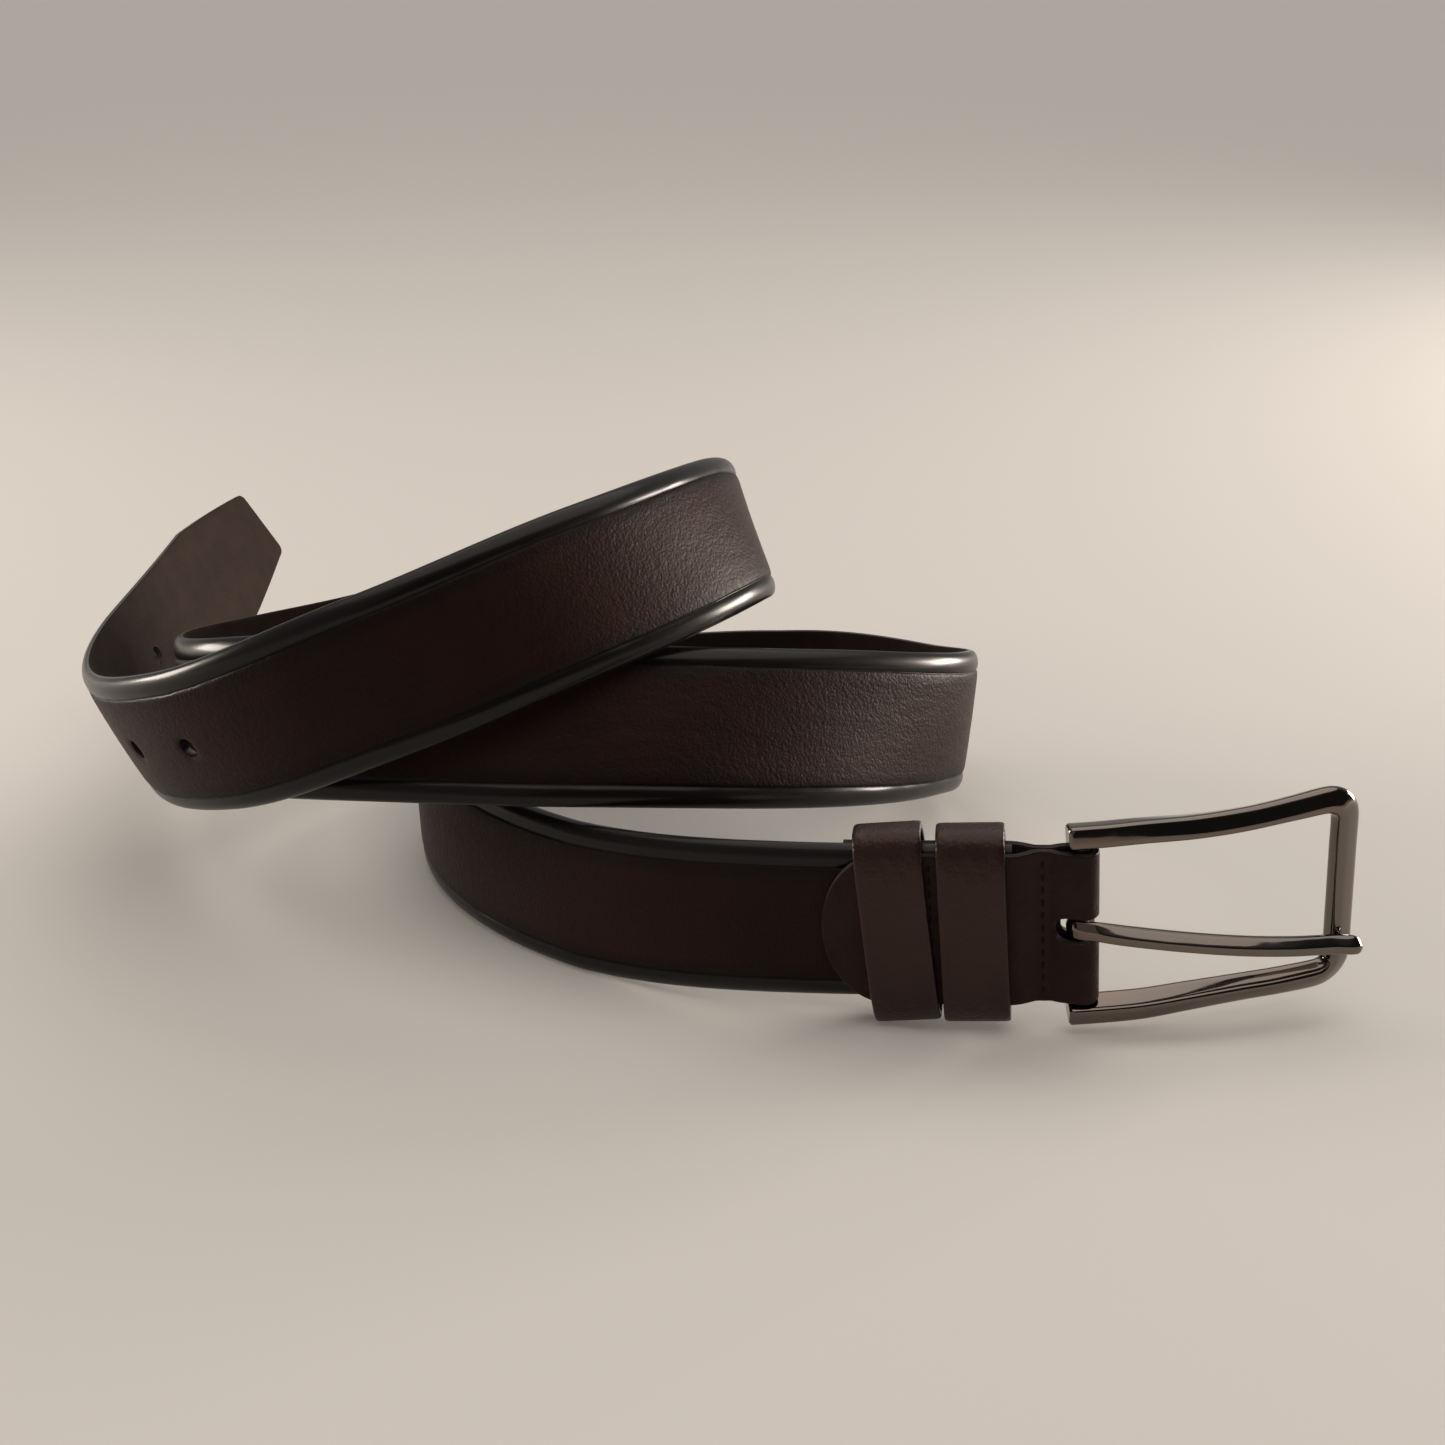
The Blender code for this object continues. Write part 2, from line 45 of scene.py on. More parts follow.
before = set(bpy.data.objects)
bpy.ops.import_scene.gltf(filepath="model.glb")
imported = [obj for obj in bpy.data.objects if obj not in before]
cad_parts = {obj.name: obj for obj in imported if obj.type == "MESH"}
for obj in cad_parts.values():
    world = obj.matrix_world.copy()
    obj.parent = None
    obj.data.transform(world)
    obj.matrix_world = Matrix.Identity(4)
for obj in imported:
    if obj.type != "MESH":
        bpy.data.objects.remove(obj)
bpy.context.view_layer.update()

MM = 0.001

# The strap's section
HALF = 17.5
PANEL_HALF = 12.8
FACE_TOP = 2.0
PANEL_BOW = 0.34
FACE_FLOOR = -0.79
CORE_HALF = 12.0
CORE_TOP = -0.10
LINING_TOP = -0.82
LINING_BACK = -1.70
STRAP_START = 16.5
LENGTH = 1165.0
TIP_TAPER = 43.0
TIP_HALF = 10.1
STRIDE = 2.5

# Prong holes: their grid cell divides the radius evenly
HOLES = [980.0 + 25.0 * i for i in range(5)]
HOLE_RADIUS = 2.4
HOLE_CELL = 0.6
HOLE_REACH = 4.8

# Lay of the coil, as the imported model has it
START = (85.8, -102.5)
START_HEADING = 8
START_HEIGHT = 25.7
START_LEAN = 4
LEGS = (
    # length, turn in degrees, then height of the strap's middle and its lean at the leg's end
    (60, 4, 21.4, 2),
    (50, 20, 17.5, 0),
    (70, 49, 17.5, 0),
    (60, 71, 17.5, 0),
    (70, 37, 17.8, 4),
    (40, 51, 21.0, 4),
    (40, 57, 32.5, 3),
    (50, 33, 45.5, -21),
    (60, 24, 54.0, -33),
    (60, 29, 53.0, -17),
    (40, 50, 43.0, 8),
    (40, 51, 34.5, 18),
    (50, 29, 34.5, 25),
    (50, 34, 50.5, 2),
    (50, 66, 69.5, -4),
    (40, 33, 82.5, -32),
    (50, 37, 82.5, -23),
    (50, 32, 68.5, -6),
    (50, 43, 48.5, 17),
    (50, 31, 35.5, 23),
    (40, 21, 34.5, 18),
    (95, 7, 45.0, 31),
)

# Chape
CHAPE = 1.5
CHAPE_HALF = 17.2
CHAPE_NEAR = 0.85
CHAPE_BACK = -2.65
CHAPE_FRONT = 2.8
FRONT_LEAF_END = 54.5
BACK_LEAF_END = 50.0
LEAF_ROUND = 13.0
SLOT_HALF = 2.9
SLOT_CELL = 0.58
SLOT_REACH = 5.8
SLOT_CENTRE = 4.5
SLOT_FRONT = 5.7

# Thread rows
PINCH = 10.6
SECOND_ROW = 32.8

# Keepers
KEEPER_WIDTH = 13.4
KEEPER_HALF_HEIGHT = 22.1
KEEPER_HALF_DEPTH = 6.8
KEEPER = 1.8
FIXED_AT = 24.2
FIXED_TILT = 1.0
FREE_AT = 39.4
FREE_TILT = 4.0
STAPLE_HALF = 2.6

# Buckle
BAR_AT = 3.0
BAR_RADIUS = 1.5
FRAME_SWING = 8.0
FRAME_LENGTH = 58.2
HEEL_PAST_BAR = 2.2
HEEL_HEIGHT = 45.4
TOE_HEIGHT = 45.4
TOE_CORNER = 7.0
FRAME_CURVE = 165.0
PRONG_WIDTH = 4.0
PRONG_TIP = 57.3
PRONG_DROOP = 12.7


# ---------------------------------------------------------------- the strap's route


def slopes(at, values):
    step = [b - a for a, b in zip(at, at[1:])]
    rise = [(b - a) / h for a, b, h in zip(values, values[1:], step)]
    inner = [
        (h1 * r0 + h0 * r1) / (h0 + h1)
        for h0, h1, r0, r1 in zip(step, step[1:], rise, rise[1:])
    ]
    return [rise[0]] + inner + [rise[-1]]


def smooth(at, values, slope, s):
    i = next((i for i in range(len(at) - 2) if s < at[i + 1]), len(at) - 2)
    h = at[i + 1] - at[i]
    t = (s - at[i]) / h
    return (
        values[i] * (2 * t**3 - 3 * t**2 + 1)
        + slope[i] * h * (t**3 - 2 * t**2 + t)
        + values[i + 1] * (3 * t**2 - 2 * t**3)
        + slope[i + 1] * h * (t**3 - t**2)
    )


def lay_route():
    """Arrays of the strap's middle and its along, across and out axes, one row for every millimetre."""
    at, heading, height, lean = [0.0], [START_HEADING], [START_HEIGHT], [START_LEAN]
    for length, turn, up, tilt in LEGS:
        at.append(at[-1] + length)
        heading.append(heading[-1] + turn)
        height.append(up)
        lean.append(tilt)
    tracks = [(track, slopes(at, track)) for track in (heading, height, lean)]

    def read(s):
        turned, up, tilt = (smooth(at, track, slope, s) for track, slope in tracks)
        return math.radians(turned), max(up, HALF), math.radians(tilt)

    rows = []
    x, y = START
    for s in range(int(LENGTH) + 1):
        _, up, tilt = read(s)
        _, before, _ = read(max(s - 0.5, 0))
        middle, after, _ = read(s + 0.5)
        turned = read(s)[0]
        climb = (after - before) / (0.5 + min(s, 0.5))
        level = math.sqrt(1 - climb * climb)
        along = Vector((-math.cos(turned) * level, math.sin(turned) * level, climb))
        upright = (Vector((0, 0, 1)) - climb * along).normalized()
        across = Matrix.Rotation(-tilt, 3, along) @ upright
        rows.append([(x, y, up), along, across, across.cross(along)])
        level = math.sqrt(1 - (read(s + 1)[1] - up) ** 2)
        x -= math.cos(middle) * level
        y += math.sin(middle) * level
    return np.array([[list(v) for v in row] for row in rows])


ROUTE = lay_route()


def axes_at(s):
    """Point, along, across and out at each s, in millimetres."""
    s = np.asarray(s, float)
    i = np.clip(s.astype(int), 0, len(ROUTE) - 2)
    t = (s - i)[..., None, None]
    mixed = ROUTE[i] * (1 - t) + ROUTE[i + 1] * t
    mixed[..., 1:, :] /= np.linalg.norm(mixed[..., 1:, :], axis=-1, keepdims=True)
    return mixed


def on_strap(s, v, n):
    """World points in metres of strap coordinates in millimetres."""
    s, v, n = np.broadcast_arrays(s, v, n)
    axes = axes_at(s)
    return (axes[..., 0, :] + v[..., None] * axes[..., 2, :] + n[..., None] * axes[..., 3, :]) * MM


def strap_matrix(s):
    """Local X along the strap, Y out of its face, Z across it."""
    point, along, across, out = (Vector(v) for v in axes_at(s))
    turn = Matrix((along, out, across)).transposed()
    return Matrix.Translation(point * MM) @ turn.to_4x4()


def buckle_matrix():
    """Local X from the heel bar to the toe, Y to the back, Z along the bar. The origin is on the bar."""
    point, along, across, out = (Vector(v) for v in axes_at(BAR_AT))
    turn = Matrix((-along, -out, across)).transposed().to_4x4()
    swing = Matrix.Rotation(math.radians(FRAME_SWING), 4, "Z")
    return Matrix.Translation(point * MM) @ turn @ swing


def placed(matrix, points):
    """Points in a piece's own millimetres, moved to the world in metres."""
    m = np.array(matrix)
    return np.asarray(points, float) * MM @ m[:3, :3].T + m[:3, 3]


# ---------------------------------------------------------------- shader maths


class Value:
    """A socket that takes part in sums; each sum adds its Math node."""

    def __init__(self, tree, socket):
        self.tree, self.socket = tree, socket

    def math(self, operation, *values):
        return self.tree.add("ShaderNodeMath", {"operation": operation}, dict(enumerate(values)))

    def __add__(self, other):
        return self.math("ADD", self, other)

    def __sub__(self, other):
        return self.math("SUBTRACT", self, other)

    def __rsub__(self, other):
        return self.math("SUBTRACT", other, self)

    def __mul__(self, other):
        return self.math("MULTIPLY", self, other)

    def __abs__(self):
        return self.math("ABSOLUTE", self)

    __radd__ = __add__
    __rmul__ = __mul__


class Nodes:
    """Adds nodes to one tree."""

    def __init__(self, tree):
        self.tree = tree

    def add(self, kind, settings=None, sockets=None, out=0):
        node = self.tree.nodes.new(kind)
        for name, value in (settings or {}).items():
            setattr(node, name, value)
        for name, value in (sockets or {}).items():
            if isinstance(value, Value):
                self.tree.links.new(value.socket, node.inputs[name])
            else:
                node.inputs[name].default_value = value
        return Value(self, node.outputs[out])

    def rise(self, value, low, high):
        """0 below low, 1 above high, smooth between."""
        sockets = {"Value": value, "From Min": low, "From Max": high}
        return self.add("ShaderNodeMapRange", {"interpolation_type": "SMOOTHSTEP"}, sockets)

    def noise(self, at, size, detail=2.0, roughness=0.5, stretch=(1, 1, 1)):
        """Soft noise about a half, whose lumps are size metres wide."""
        if stretch != (1, 1, 1):
            at = self.add("ShaderNodeMapping", None, {"Vector": at, "Scale": stretch})
        sockets = {"Vector": at, "Scale": 1 / size, "Detail": detail, "Roughness": roughness}
        return self.add("ShaderNodeTexNoise", None, sockets)

    def cells(self, at, size):
        sockets = {"Vector": at, "Scale": 1 / size, "Randomness": 1.0}
        return self.add("ShaderNodeTexVoronoi", {"feature": "SMOOTH_F1"}, sockets)

    def mix(self, share, one, two):
        settings = {"data_type": "RGBA"}
        sockets = {0: share, 6: rgba(one), 7: rgba(two)}
        return self.add("ShaderNodeMix", settings, sockets, out=2)

    def bump(self, height, depth, before=None):
        sockets = {"Height": height, "Distance": depth}
        if before is not None:
            sockets["Normal"] = before
        return self.add("ShaderNodeBump", None, sockets)


def rgba(colour):
    return colour if isinstance(colour, Value) else (*colour, 1)


def shade(colour, share):
    return tuple(share * c for c in colour)


def new_material(name, constants):
    """A material with its Principled shader's own sockets set, and a Nodes to add the rest with."""
    made = bpy.data.materials.new(name)
    made.use_nodes = True
    shader = made.node_tree.nodes["Principled BSDF"]
    for socket, value in constants.items():
        shader.inputs[socket].default_value = value
    nodes = Nodes(made.node_tree)

    def drive(**links):
        for socket, value in links.items():
            made.node_tree.links.new(value.socket, shader.inputs[socket.replace("_", " ")])

    return made, nodes, drive


def lay_of(nodes):
    """The attribute vector (s, v, n) and the distance |v| from the strap's centre line, in metres."""
    at = nodes.add("ShaderNodeAttribute", {"attribute_name": "lay"}, out="Vector")
    v = nodes.add("ShaderNodeSeparateXYZ", None, {0: at}, out="Y")
    return at, abs(v)


# The warm cast of dyed leather's own shine
TAN = (1.0, 0.80, 0.72, 1)


def pebbles(nodes, at, size):
    """Height of fine leather grain: rounded cells broken up by softer lumps."""
    sockets = {"Vector": at, "Scale": 0.4 / size, "Detail": 1.0}
    shift = nodes.add("ShaderNodeTexNoise", None, sockets, out="Color")
    sockets = {0: shift, 1: (size * 1.6,) * 3, 2: at}
    drift = nodes.add("ShaderNodeVectorMath", {"operation": "MULTIPLY_ADD"}, sockets)
    cell = nodes.cells(drift, size)
    return (1 - cell) * 0.6 + nodes.noise(at, size * 3.2, 4.0, 0.6) * 0.8


def grain_leather(look):
    """Burnished belt leather: a pebbled satin panel, and glossy near-black bevels beyond the crease."""
    made, nodes, drive = new_material(
        "grain_leather",
        {"Specular IOR Level": look.sheen, "Specular Tint": TAN, "Coat Roughness": 0.2},
    )
    at, away = lay_of(nodes)
    wander = (nodes.noise(at, 0.004, 3.0) - 0.5) * 0.0006
    bevel = nodes.rise(away + wander, (PANEL_HALF - 0.1) * MM, (PANEL_HALF + 0.2) * MM)
    burnish = nodes.rise(away + wander * 3, 0.0085, 0.0127)
    cloud = nodes.rise(nodes.noise(at, 0.028, 3.0, 0.55), 0.3, 0.7)
    panel = nodes.mix(cloud, shade(look.panel, 0.72), look.panel)
    panel = nodes.mix(burnish * 0.75, panel, look.bevel)
    grain = pebbles(nodes, at, look.grain)
    streaks = nodes.noise(at, 0.0016, 3.0, 0.6, (0.12, 1, 1))
    flat = 1 - bevel
    gloss = nodes.rise(away, (PANEL_HALF + 0.4) * MM, (PANEL_HALF + 0.8) * MM)
    rough = flat * (look.satin + (cloud - 0.5) * 0.05 + (grain - 0.6) * 0.16)
    rough = rough + bevel * (look.polish + (streaks - 0.5) * 0.10)
    bumped = nodes.bump(grain * flat, look.grain * 0.24)
    ripple = nodes.noise(at, 0.006, 2.0, 0.5, (0.35, 1, 1)) + streaks * 0.12 * bevel
    bumped = nodes.bump(ripple, 0.00022, bumped)
    drive(
        Base_Color=nodes.mix(bevel, panel, look.bevel),
        Roughness=rough,
        Coat_Weight=gloss * 0.3,
        Normal=bumped,
    )
    return made


def edge_leather(colour):
    """Painted and rubbed edge of the strap."""
    made, nodes, drive = new_material(
        "edge_paint", {"Specular IOR Level": 0.5, "Coat Weight": 0.4, "Coat Roughness": 0.15}
    )
    at, _ = lay_of(nodes)
    fibre = nodes.noise(at, 0.0011, 3.0, 0.6, (0.25, 1, 1))
    drive(
        Base_Color=nodes.mix(fibre, shade(colour, 0.6), shade(colour, 1.5)),
        Roughness=0.24 + fibre * 0.2,
        Normal=nodes.bump(fibre, 0.00005),
    )
    return made


def lining_leather(look):
    """Matt split lining, faintly mottled, with a short nap."""
    made, nodes, drive = new_material(
        "lining_leather", {"Specular IOR Level": 0.15, "Specular Tint": TAN}
    )
    at, _ = lay_of(nodes)
    mottle = nodes.rise(nodes.noise(at, 0.007, 5.0, 0.6), 0.3, 0.72)
    nap = nodes.noise(at, 0.0006, 3.0, 0.7)
    drags = nodes.noise(at, 0.003, 4.0, 0.65, (0.15, 1, 1))
    colour = nodes.mix(mottle, shade(look.lining, 0.7), shade(look.lining, 1.25))
    colour = nodes.mix(nap * 0.35, colour, shade(look.lining, 1.6))
    drive(
        Base_Color=colour,
        Roughness=0.62 + nap * 0.25,
        Normal=nodes.bump(nap + drags * 0.8, 0.00012),
    )
    return made


def fibre_leather(name, colour, size=0.0005):
    """Raw cut leather or bonded fibre: matt, layered along the cut."""
    made, nodes, drive = new_material(name, {"Specular IOR Level": 0.25})
    at, _ = lay_of(nodes)
    layers = nodes.noise(at, size, 4.0, 0.7, (0.3, 1, 1))
    speck = nodes.noise(at, size * 0.6, 2.0, 0.6)
    share = nodes.rise(layers * 0.6 + speck * 0.4, 0.32, 0.68)
    drive(
        Base_Color=nodes.mix(share, shade(colour, 0.25), colour),
        Roughness=0.75 + speck * 0.2,
        Normal=nodes.bump(layers + speck, 0.0002),
    )
    return made


def smooth_leather(name, colour, rough, grain, shine, depth):
    """Calf leather of the chape and the keepers: even colour, a light pebble and lighter rubbed patches.
    """
    made, nodes, drive = new_material(name, {"Specular IOR Level": shine, "Specular Tint": TAN})
    at, away = lay_of(nodes)
    cloud = nodes.rise(nodes.noise(at, 0.012, 4.0, 0.6), 0.28, 0.72)
    pebble = pebbles(nodes, at, grain)
    wear = nodes.rise(nodes.noise(at, 0.0035, 5.0, 0.7), 0.62, 0.8)
    base = nodes.mix(cloud, shade(colour, 0.7), shade(colour, 1.15))
    base = nodes.mix(wear * 0.25, base, shade(colour, 1.7))
    drive(
        Base_Color=base,
        Roughness=rough + (cloud - 0.5) * 0.06 + (pebble - 0.6) * 0.14,
        Normal=nodes.bump(pebble, grain * depth, nodes.bump(cloud, 0.0003)),
    )
    return made


def polished_metal(look):
    """Black nickel plate: mirror-like, with a warm and cool drift, faint waves and fine scratches."""
    made, nodes, drive = new_material("black_nickel", {"Metallic": 1.0})
    at = nodes.add("ShaderNodeTexCoord", None, None, out="Object")
    drift = nodes.rise(nodes.noise(at, 0.018, 2.0), 0.35, 0.65)
    warm, cool = (
        tuple(c * k for c, k in zip(look.plate, cast))
        for cast in ((1.06, 0.99, 0.94), (0.94, 0.99, 1.0))
    )
    scratch = nodes.noise(at, 0.0008, 3.0, 0.7, (0.08, 1, 1))
    smear = nodes.rise(nodes.noise(at, 0.006, 4.0, 0.65), 0.45, 0.8)
    drive(
        Base_Color=nodes.mix(drift, warm, cool),
        Roughness=look.polish + smear * 0.08 + nodes.rise(scratch, 0.6, 0.75) * 0.05,
        Normal=nodes.bump(nodes.noise(at, 0.009, 1.0), 0.00012, nodes.bump(scratch, 0.0000015)),
    )
    return made


def plain_steel():
    made, nodes, drive = new_material("drawn_steel", {"Metallic": 1.0})
    at = nodes.add("ShaderNodeTexCoord", None, None, out="Object")
    drawn = nodes.noise(at, 0.0006, 3.0, 0.6, (1, 1, 0.1))
    drive(
        # Near-black base colour, far darker than bare steel: painted shade for the heel bar inside the
        # chape fold; the keeper staples share it.
        Base_Color=nodes.mix(drawn, (0.05, 0.047, 0.044), (0.12, 0.115, 0.11)),
        Roughness=0.25 + drawn * 0.25,
        Normal=nodes.bump(drawn, 0.00001),
    )
    return made


def waxed_thread(colour):
    made, nodes, drive = new_material("waxed_thread", {"Specular IOR Level": 0.15})
    at = nodes.add("ShaderNodeTexCoord", None, None, out="Object")
    ply = nodes.noise(at, 0.00035, 2.0, 0.6)
    drive(
        Base_Color=nodes.mix(ply, shade(colour, 0.5), shade(colour, 1.5)),
        Roughness=0.45 + ply * 0.3,
        Normal=nodes.bump(ply, 0.00008),
    )
    return made


# ---------------------------------------------------------------- mesh building


def new_piece(name, points, faces, materials, slots=None, lay=None, sharp=40):
    """A mesh object at the origin, with smooth shading that breaks at sharp edges."""
    mesh = bpy.data.meshes.new(name)
    mesh.from_pydata(np.asarray(points).reshape(-1, 3).tolist(), [], [list(map(int, f)) for f in faces])
    for material in materials:
        mesh.materials.append(material)
    if slots is not None:
        mesh.polygons.foreach_set("material_index", np.asarray(slots, np.int32))
    if lay is not None:
        stored = mesh.attributes.new("lay", "FLOAT_VECTOR", "POINT")
        stored.data.foreach_set("vector", (np.asarray(lay, np.float32) * MM).ravel())
    shape = bmesh.new()
    shape.from_mesh(mesh)
    loose = [vert for vert in shape.verts if not vert.link_faces]
    bmesh.ops.delete(shape, geom=loose, context="VERTS")
    bmesh.ops.recalc_face_normals(shape, faces=shape.faces)
    shape.to_mesh(mesh)
    shape.free()
    mesh.shade_smooth()
    mesh.set_sharp_from_angle(angle=math.radians(sharp))
    made = bpy.data.objects.new(name, mesh)
    bpy.context.scene.collection.objects.link(made)
    return made


def skin(name, outer, inner, keep, lay_outer, lay_inner, materials, sharp=40):
    """A layer between two grids of points, with a rim round it and round each opening in it.

    materials are those of the outer side, the rim and the inner side."""
    rows, columns = outer.shape[:2]
    number = np.arange(rows * columns).reshape(rows, columns)
    corners = (number[:-1, :-1], number[:-1, 1:], number[1:, 1:], number[1:, :-1])
    cells = np.stack(corners, -1)[keep]
    below = rows * columns
    beyond = np.pad(keep, 1)
    beside = (beyond[:-2, 1:-1], beyond[1:-1, 2:], beyond[2:, 1:-1], beyond[1:-1, :-2])
    rim = []
    for i, neighbour in enumerate(beside):
        bare = keep & ~neighbour
        one, two = corners[i][bare], corners[(i + 1) % 4][bare]
        rim.append(np.stack([two, one, one + below, two + below], -1))
    rim = np.concatenate(rim)
    faces = np.concatenate([cells, rim, cells[:, ::-1] + below])
    slots = [0] * len(cells) + [1] * len(rim) + [2] * len(cells)
    points = np.concatenate([outer.reshape(-1, 3), inner.reshape(-1, 3)])
    lay = np.concatenate([lay_outer.reshape(-1, 3), lay_inner.reshape(-1, 3)])
    return new_piece(name, points, faces, materials, slots, lay, sharp)


def sweep(name, rings, materials, sharp=35):
    """A closed body through rings of points, with a fan at each end."""
    rings = np.asarray(rings, float)
    count, around = rings.shape[:2]
    number = np.arange(count * around).reshape(count, around)
    turned = np.roll(number, -1, axis=1)
    sides = np.stack([number[:-1], turned[:-1], turned[1:], number[1:]], -1).reshape(-1, 4)
    first, last = count * around, count * around + 1
    faces = [list(face) for face in sides]
    faces += [[first, b, a] for a, b in zip(number[0], turned[0])]
    faces += [[last, a, b] for a, b in zip(number[-1], turned[-1])]
    ends = np.stack([rings[0].mean(axis=0), rings[-1].mean(axis=0)])
    points = np.concatenate([rings.reshape(-1, 3), ends])
    return new_piece(name, points, faces, materials, sharp=sharp)


def headings(line):
    """Unit vectors along a line of points."""
    ahead = np.gradient(line, axis=0)
    return ahead / np.linalg.norm(ahead, axis=1, keepdims=True)


def smoothstep(value, low, high):
    t = np.clip((value - low) / (high - low), 0, 1)
    return t * t * (3 - 2 * t)


def rounded_opening(along, across, radius, reach):
    """Moves grid points near an opening, so that the square of cells left out of it is a round hole."""
    square = np.maximum(np.abs(along), np.abs(across))
    length = np.maximum(np.hypot(along, across), 1e-9)
    pull = (1 - smoothstep(square, radius, reach)) * (square < reach)
    scale = 1 + (square / length - 1) * pull
    return along * scale, across * scale


def evenly(low, high, step):
    """Numbers from low to high, at most a step apart."""
    count = max(1, math.ceil((high - low) / step - 1e-6))
    return [low + (high - low) * i / count for i in range(count + 1)]


def through(points, step):
    """Points a step apart on a smooth curve through the given ones (centripetal Catmull-Rom)."""
    points = np.asarray(points, float)
    padded = np.vstack([2 * points[0] - points[1], points, 2 * points[-1] - points[-2]])
    found = []
    for p0, p1, p2, p3 in zip(padded, padded[1:], padded[2:], padded[3:]):
        pairs = ((p0, p1), (p1, p2), (p2, p3))
        gaps = [max(np.linalg.norm(b - a), 1e-6) ** 0.5 for a, b in pairs]
        t0, t1, t2, t3 = np.cumsum([0] + gaps)
        count = max(4, math.ceil(np.linalg.norm(p2 - p1) / 0.08))
        for t in np.linspace(t1, t2, count, endpoint=False):
            a1 = p0 * (t1 - t) / (t1 - t0) + p1 * (t - t0) / (t1 - t0)
            a2 = p1 * (t2 - t) / (t2 - t1) + p2 * (t - t1) / (t2 - t1)
            a3 = p2 * (t3 - t) / (t3 - t2) + p3 * (t - t2) / (t3 - t2)
            b1 = a1 * (t2 - t) / (t2 - t0) + a2 * (t - t0) / (t2 - t0)
            b2 = a2 * (t3 - t) / (t3 - t1) + a3 * (t - t1) / (t3 - t1)
            found.append(b1 * (t2 - t) / (t2 - t1) + b2 * (t - t1) / (t2 - t1))
    found.append(points[-1])
    found = np.array(found)
    run = np.concatenate([[0], np.cumsum(np.linalg.norm(np.diff(found[:, :2], axis=0), axis=1))])
    if step is None:
        return found, run
    wanted = np.array(evenly(0, run[-1], step))
    return np.stack([np.interp(wanted, run, column) for column in found.T], -1), wanted


def soften(loop, times, cut=0.22):
    """Rounds the corners of a closed outline by cutting them, and cutting the cuts."""
    loop = np.asarray(loop, float)
    for _ in range(times):
        following = np.roll(loop, -1, axis=0)
        loop = np.stack([loop * (1 - cut) + following * cut, loop * cut + following * (1 - cut)], 1)
        loop = loop.reshape(-1, loop.shape[-1])
    return loop


# ---------------------------------------------------------------- strap


def strap_rows():
    """Where the strap's cross sections stand: close together at the holes and at the tip."""
    rows = []
    at = STRAP_START
    for hole in HOLES:
        rows += evenly(at, hole - HOLE_REACH, STRIDE)[:-1]
        rows += evenly(hole - HOLE_REACH, hole + HOLE_REACH, HOLE_CELL)[:-1]
        at = hole + HOLE_REACH
    rows += evenly(at, LENGTH - TIP_TAPER, STRIDE)[:-1]
    rows += evenly(LENGTH - TIP_TAPER, LENGTH - 5, 1.0)[:-1]
    rows += evenly(LENGTH - 5, LENGTH - 0.6, 0.4)[:-1]
    return np.array(rows + [LENGTH - back for back in (0.6, 0.4, 0.22, 0.1, 0.0)])


def both_sides(half):
    """Positions from one edge to the other, made from the half that starts at the middle."""
    half = np.asarray(half, float)
    return np.concatenate([-half[:0:-1], half])


# Columns of cells from the middle to past the holes
HOLE_COLUMNS = [HOLE_CELL * i for i in range(9)]

# The grained face from the middle outwards, as (v, n): panel, crease, bevel and rounded edge
FACE_PROFILE = [
    (v, FACE_TOP - PANEL_BOW * (v / PANEL_HALF) ** 2) for v in HOLE_COLUMNS + [6.2, 8.2, 10.2, 11.4]
] + [
    (12.0, 1.62), (12.35, 1.58), (12.6, 1.50), (12.78, 1.38), (12.92, 1.28), (13.08, 1.25),
    (13.3, 1.31), (13.7, 1.42), (14.3, 1.45), (15.0, 1.36), (15.7, 1.17), (16.3, 0.90),
    (16.8, 0.56), (17.15, 0.20), (17.38, -0.2), (17.5, -0.7),
]


def tip_inset(s):
    """How far each edge has drawn in at s."""
    along = np.maximum(s - (LENGTH - TIP_TAPER), 0)
    last = np.clip(2.0 - (LENGTH - s), 0, 2)
    rounding = 2.6 * (1 - np.sqrt(np.maximum(1 - (last / 2.0) ** 2, 0)))
    return (HALF - TIP_HALF) * (along / TIP_TAPER) ** 1.12 + rounding


def strap_grid(half_v):
    """Grids of s and v after the holes are rounded and the tip is drawn in, which cells are leather,
    and each point's distance from the strap's outline."""
    s, v = np.meshgrid(strap_rows(), both_sides(half_v), indexing="ij")
    middle_s = (s[:-1, :-1] + s[1:, 1:]) / 2
    middle_v = (v[:-1, :-1] + v[1:, 1:]) / 2
    keep = np.ones(middle_s.shape, bool)
    for hole in HOLES:
        keep &= np.maximum(np.abs(middle_s - hole), np.abs(middle_v)) > HOLE_RADIUS
    near_v = v.copy()
    for hole in HOLES:
        away, near_v = rounded_opening(s - hole, near_v, HOLE_RADIUS, HOLE_REACH)
        s = hole + away
    drawn = tip_inset(s)
    deep = np.minimum(HALF - np.abs(near_v), LENGTH - s)
    v = np.sign(near_v) * np.maximum(np.abs(near_v) - drawn, 0.08 * np.abs(near_v))
    return s, v, keep, deep


def from_hole(s, v):
    """Distance from the nearest prong hole's rim."""
    return np.min([np.hypot(s - hole, v) for hole in HOLES], axis=0) - HOLE_RADIUS


def strap_lay(s, v, n, deep):
    """The coordinates that the leather's material reads: v is counted from the outline."""
    sign = np.where(v < 0, -1, 1)
    return np.stack([s, sign * (HALF - deep), np.broadcast_to(n, s.shape)], -1)


def strap_layer(name, grid, outer, inner, inner_v, materials):
    """A layer of the strap between the heights outer and inner."""
    s, v, keep, deep = grid
    lays = (strap_lay(s, v, n, deep) for n in (outer, inner))
    return skin(name, on_strap(s, v, outer), on_strap(s, inner_v, inner), keep, *lays, materials)


